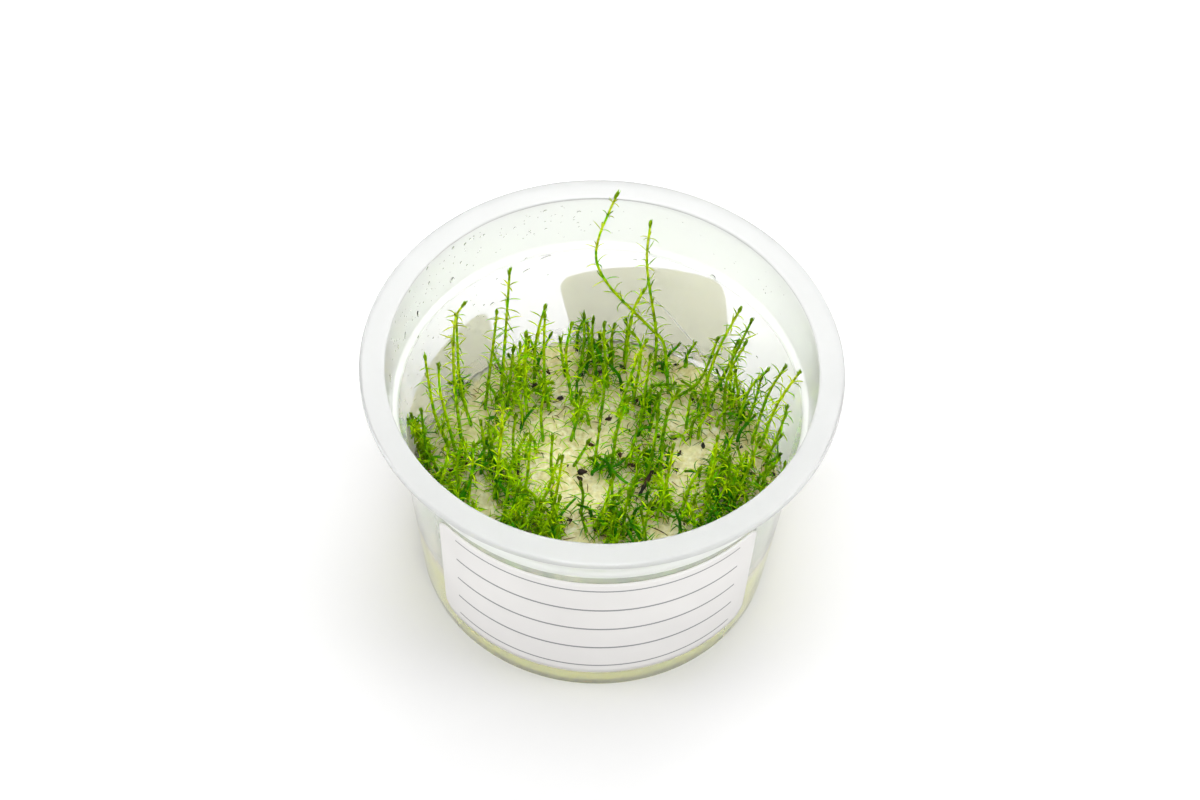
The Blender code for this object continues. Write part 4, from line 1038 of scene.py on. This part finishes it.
# Each dead bit is a rough lump beside a smaller one, with curled strands: a strand's direction turns as it goes, and
# it thins to its end. A rotted stem and some brown roots lie on the gel with them.
def makeDeadBits():
    rng = np.random.default_rng(dead["seed"])
    spots = np.array(dead["spots"])
    crumbs = feet[rng.integers(0, len(feet), dead["crumbs"])]
    scatter = rng.normal(0.0, dead["crumbScatter"], (2, len(crumbs)))
    crumbs = crumbs + np.stack([*scatter, rng.uniform(*dead["crumbLift"], len(crumbs))], axis=-1)
    crumbs = crumbs[crumbs[:, 1] > litter["frontFrom"]]
    centres = np.vstack([placeOf(spots[:, :2], gel["level"] + dead["lift"] + spots[:, 2]),
                         keptInside(crumbs, dead["wallMargin"])])
    size = np.concatenate([spots[:, 3], rng.uniform(*dead["crumbSize"], len(crumbs))])
    count = len(centres)
    turn = rng.uniform(0.0, 2.0 * np.pi, count)
    lie = roundAxis(1.0, turn, rng.uniform(-0.5, 0.5, count))
    side = np.cross(upright, lie)
    over = np.cross(lie, side)
    shapes = []
    for scale, shift in dead["lumps"]:
        flat = (dead["slim"] * scale * size)[:, None]
        shapes.append(blobShapes(centres + (shift * size)[:, None] * lie, lie * (scale * size)[:, None],
                                 side * flat, over * flat, 6, 9, rough=dead["rough"]))
    number = count * dead["strands"]
    start = np.repeat(centres, dead["strands"], axis=0)
    heading = rng.uniform(0.0, 2.0 * np.pi, number)
    curl = rng.uniform(-dead["curl"], dead["curl"], number)
    t = np.linspace(0.0, 1.0, 6)
    angle = heading[:, None] + curl[:, None] * t
    climb = rng.uniform(*dead["climb"], number)[:, None] * (1.0 - t)
    step = roundAxis(1.0, angle, climb)
    step = step * (np.repeat(size, dead["strands"]) * rng.uniform(*dead["step"], number))[:, None, None]
    lines = start[:, None] + np.cumsum(step, axis=1) - step[:, :1]
    lines[..., 2] = np.maximum(lines[..., 2], gel["level"] + dead["strandLift"])
    width = rng.uniform(*dead["strandWidth"], number)[:, None] * (1.0 - 0.6 * t)
    shapes.append(sweptTubes(lines, width, width, np.broadcast_to(upright, (number, 3)), 4))
    for radius, heights, *pixels in dead["lying"]:
        line = smoothLine(placeOf(pixels, gel["level"] + np.array(heights)), 6)
        t = np.linspace(0.0, 1.0, len(line))
        width = radius * (1.0 + 0.18 * np.sin(23.0 * t) + 0.1 * np.sin(51.0 * t + 1.0)) * (1.0 - 0.4 * t ** 3)
        shapes.append(sweptTube(line, width, upright, 8))
    addPiece("deadBits", joinShapes(shapes), [witheredTissue()])


makeDeadBits()
print("dead bits")

# Clear gel that crept up the wall: a skin round the inside, thick at the gel and running out to a wavy top edge.
# Thickness = thin (1 - 0.7 t) + foot exp(-rise / reach).
skin = {"foot": 19.4, "top": 25.4, "wave": 0.45, "thin": 0.06, "footThick": 0.08, "reach": 1.0, "gap": 0.03,
        "columns": 240, "steps": 14}


# Gel and water: smooth, wet and see-through, or milky where the clearness is less.
def wetMaterial(name, ior, roughness=0.02, clearness=1.0):
    return newMaterial(name, {"Base Color": "#FFFFFF", "Roughness": roughness, "IOR": ior,
                              "Transmission Weight": clearness})[0]


def makeSkin():
    angle = 2.0 * np.pi * np.arange(skin["columns"]) / skin["columns"]
    wave = np.sin(3.0 * angle + 0.7) + 0.6 * np.sin(7.0 * angle + 2.0) + 0.35 * np.sin(19.0 * angle)
    top = skin["top"] + skin["wave"] * wave
    t = np.concatenate([np.linspace(0.0, 0.97, skin["steps"]), [0.99, 0.998, 1.0]])[:, None]
    height = skin["foot"] + (top - skin["foot"]) * t
    rise = height - gel["level"]
    thickness = skin["thin"] * (1.0 - 0.7 * t) + skin["footThick"] * np.exp(-np.maximum(rise, 0.0) / skin["reach"])
    outer = innerRadius(height) - skin["gap"]
    radius = np.concatenate([outer, (outer - thickness)[::-1]])
    points = roundAxis(radius, angle, np.concatenate([height, height[::-1]])).reshape(-1, 3)
    quads = gridQuads(len(radius), skin["columns"], True, ring=True)
    addPiece("clearGelSkin", (points, quads, noTriangles), [wetMaterial("clearGel", 1.34)])


makeSkin()

# Water on the wall. drops: the pixel, the half lengths in millimetres along the lean and across it, and the lean from
# upright. spray: fine drops in ranges of azimuth and height. Then the pixels down the wall of wet streaks, each a
# milky white ridge whose whiteness is a painted highlight.
water = {"seed": 3, "gap": 0.02, "flat": 0.12, "streakDepth": 0.16, "streakThick": 0.12,
         "drops": (
             (426, 267.5, 0.5, 0.35, 40), (409, 291, 0.35, 0.25, 40), (484, 235, 0.4, 0.3, 0),
             (480.5, 237, 0.25, 0.2, 0), (461, 262.5, 0.42, 0.28, 0), (467, 265, 0.3, 0.25, 0),
             (453, 248, 0.5, 0.4, 0), (465, 244, 0.45, 0.3, 30), (470, 239, 0.3, 0.25, 0),
             (515, 228, 0.45, 0.35, 0), (545, 211, 0.5, 0.35, 60), (579, 212, 0.5, 0.4, 60),
             (562, 206.5, 0.25, 0.25, 0), (578, 223, 0.25, 0.25, 0), (579, 227, 0.25, 0.2, 0),
             (546, 229, 0.35, 0.3, 0), (530, 231, 0.25, 0.25, 0), (534, 234, 0.2, 0.2, 0),
             (574, 220, 0.25, 0.2, 0), (545, 258, 1.5, 0.5, 70), (526, 271, 1.1, 0.42, 65),
             (548, 275, 0.3, 0.25, 0), (526, 259, 0.5, 0.35, 0), (492, 304, 0.55, 0.5, 60),
             (484, 305, 0.3, 0.25, 0), (474, 305, 0.3, 0.25, 0), (452, 280, 0.95, 0.7, 0),
             (418, 314, 1.3, 0.45, -12), (405, 335.5, 1.2, 0.4, 6), (398, 347, 0.8, 0.35, 0),
             (390, 378, 1.4, 0.4, 0), (403, 363, 0.5, 0.4, 0), (418, 337, 0.4, 0.35, 0),
             (411, 388, 0.35, 0.3, 0), (429, 283, 0.5, 0.4, 0), (713, 277, 0.85, 0.7, 20),
             (768, 320, 0.35, 0.35, 0), (635, 260, 0.4, 0.4, 0), (757, 357, 0.4, 0.35, 0),
             (497, 279, 0.35, 0.3, 0), (433, 338, 0.35, 0.3, 0), (428, 336, 0.3, 0.25, 0),
             (395, 322, 0.3, 0.25, 0)),
         "nearDrops": ((569, 580, 0.75, 0.85, 0), (520, 569, 0.3, 0.3, 0)),
         "spray": ((110, (95.0, 185.0), (53.0, 63.2), (0.08, 0.2)), (50, (130.0, 178.0), (36.0, 49.0), (0.07, 0.16)),
                   (24, (30.0, 95.0), (53.0, 62.0), (0.07, 0.15))),
         "highlightStreaks": (
             (0.16, (655, 300), (664, 308), (673, 318), (681, 328), (689, 337), (696, 345), (702, 352), (707, 358)),
             (0.3, (671, 361), (680, 361), (690, 363), (700, 367)),
             (0.13, (686, 364), (692, 370), (698, 377), (702, 383)))}


# The point of the inner wall that the picture shows at a pixel: the height between the gel and the rim is halved
# until the ray's reach there is the wall's. Near is the wall in front, which the ray meets on its way in.
def wallPlace(pixels, near=False):
    low, high = np.full(len(pixels), gel["level"]), np.full(len(pixels), cup["height"])
    for _ in range(30):
        middle = (low + high) / 2.0
        place = placeOf(pixels, middle)
        beyond = (np.hypot(place[:, 0], place[:, 1]) > innerRadius(middle)) != near
        low, high = np.where(beyond, middle, low), np.where(beyond, high, middle)
    return place


# Drops at places on the wall: up leans from upright along the wall, and the crown points into the cup.
def wallDrops(places, along, across, lean):
    outward = roundAxis(1.0, np.arctan2(places[:, 1], places[:, 0]), 0.0)
    around = np.cross(upright, outward)
    turn = np.radians(lean)[:, None]
    long = np.cos(turn) * upright - np.sin(turn) * around
    wide = np.cos(turn) * around + np.sin(turn) * upright
    depth = (0.2 * across + 0.03)[:, None]
    centres = outward * (innerRadius(places[:, 2]) - water["gap"] - water["flat"] * depth[:, 0])[:, None]
    centres[:, 2] = places[:, 2]
    return blobShapes(centres, long * along[:, None], wide * across[:, None], -outward * depth, 5, 12,
                      behind=water["flat"])


def makeWater():
    rng = np.random.default_rng(water["seed"])
    shapes = []
    for drops, near in ((np.array(water["drops"]), False), (np.array(water["nearDrops"]), True)):
        shapes.append(wallDrops(wallPlace(drops[:, :2], near), *drops[:, 2:].T))
    for count, azimuths, heights, sizes in water["spray"]:
        angle = np.radians(rng.uniform(*azimuths, count))
        places = roundAxis(1.0, angle, rng.uniform(*heights, count))
        size = rng.uniform(*sizes, count)
        shapes.append(wallDrops(places, size * rng.uniform(1.0, 1.6, count), size, np.zeros(count)))
    # Each streak is a wet ridge on the wall, made milky white as a painted highlight.
    streakRidges = []
    for width, *pixels in water["highlightStreaks"]:
        line = smoothLine(wallPlace(np.array(pixels)), 5)
        reach = np.hypot(line[:, 0], line[:, 1])
        line[:, :2] *= ((innerRadius(line[:, 2]) - water["gap"] - water["streakDepth"]) / reach)[:, None]
        t = np.linspace(0.0, 1.0, len(line))
        wide = width * (0.55 + 0.45 * np.sin(np.pi * t)) * (1.0 + 0.25 * np.sin(17.0 * t))
        outward = np.array([[line[0, 0], line[0, 1], 0.0]])
        streakRidges.append(sweptTubes(line[None], np.full((1, len(t)), water["streakThick"]), wide[None], outward, 8))
    addPiece("wallDrops", joinShapes(shapes), [wetMaterial("clearWater", 1.33)])
    addPiece("wetStreaksPaintedHighlight", joinShapes(streakRidges), [wetMaterial("milkyPaintedHighlight", 1.34, 0.15, 0.3)])


makeWater()
print("clear gel and water")

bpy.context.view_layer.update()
counted = {piece.name: sum(len(face.vertices) - 2 for face in piece.data.polygons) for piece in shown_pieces()}
print("triangles shown:", sum(counted.values()), "the largest piece:", max(counted.values()))
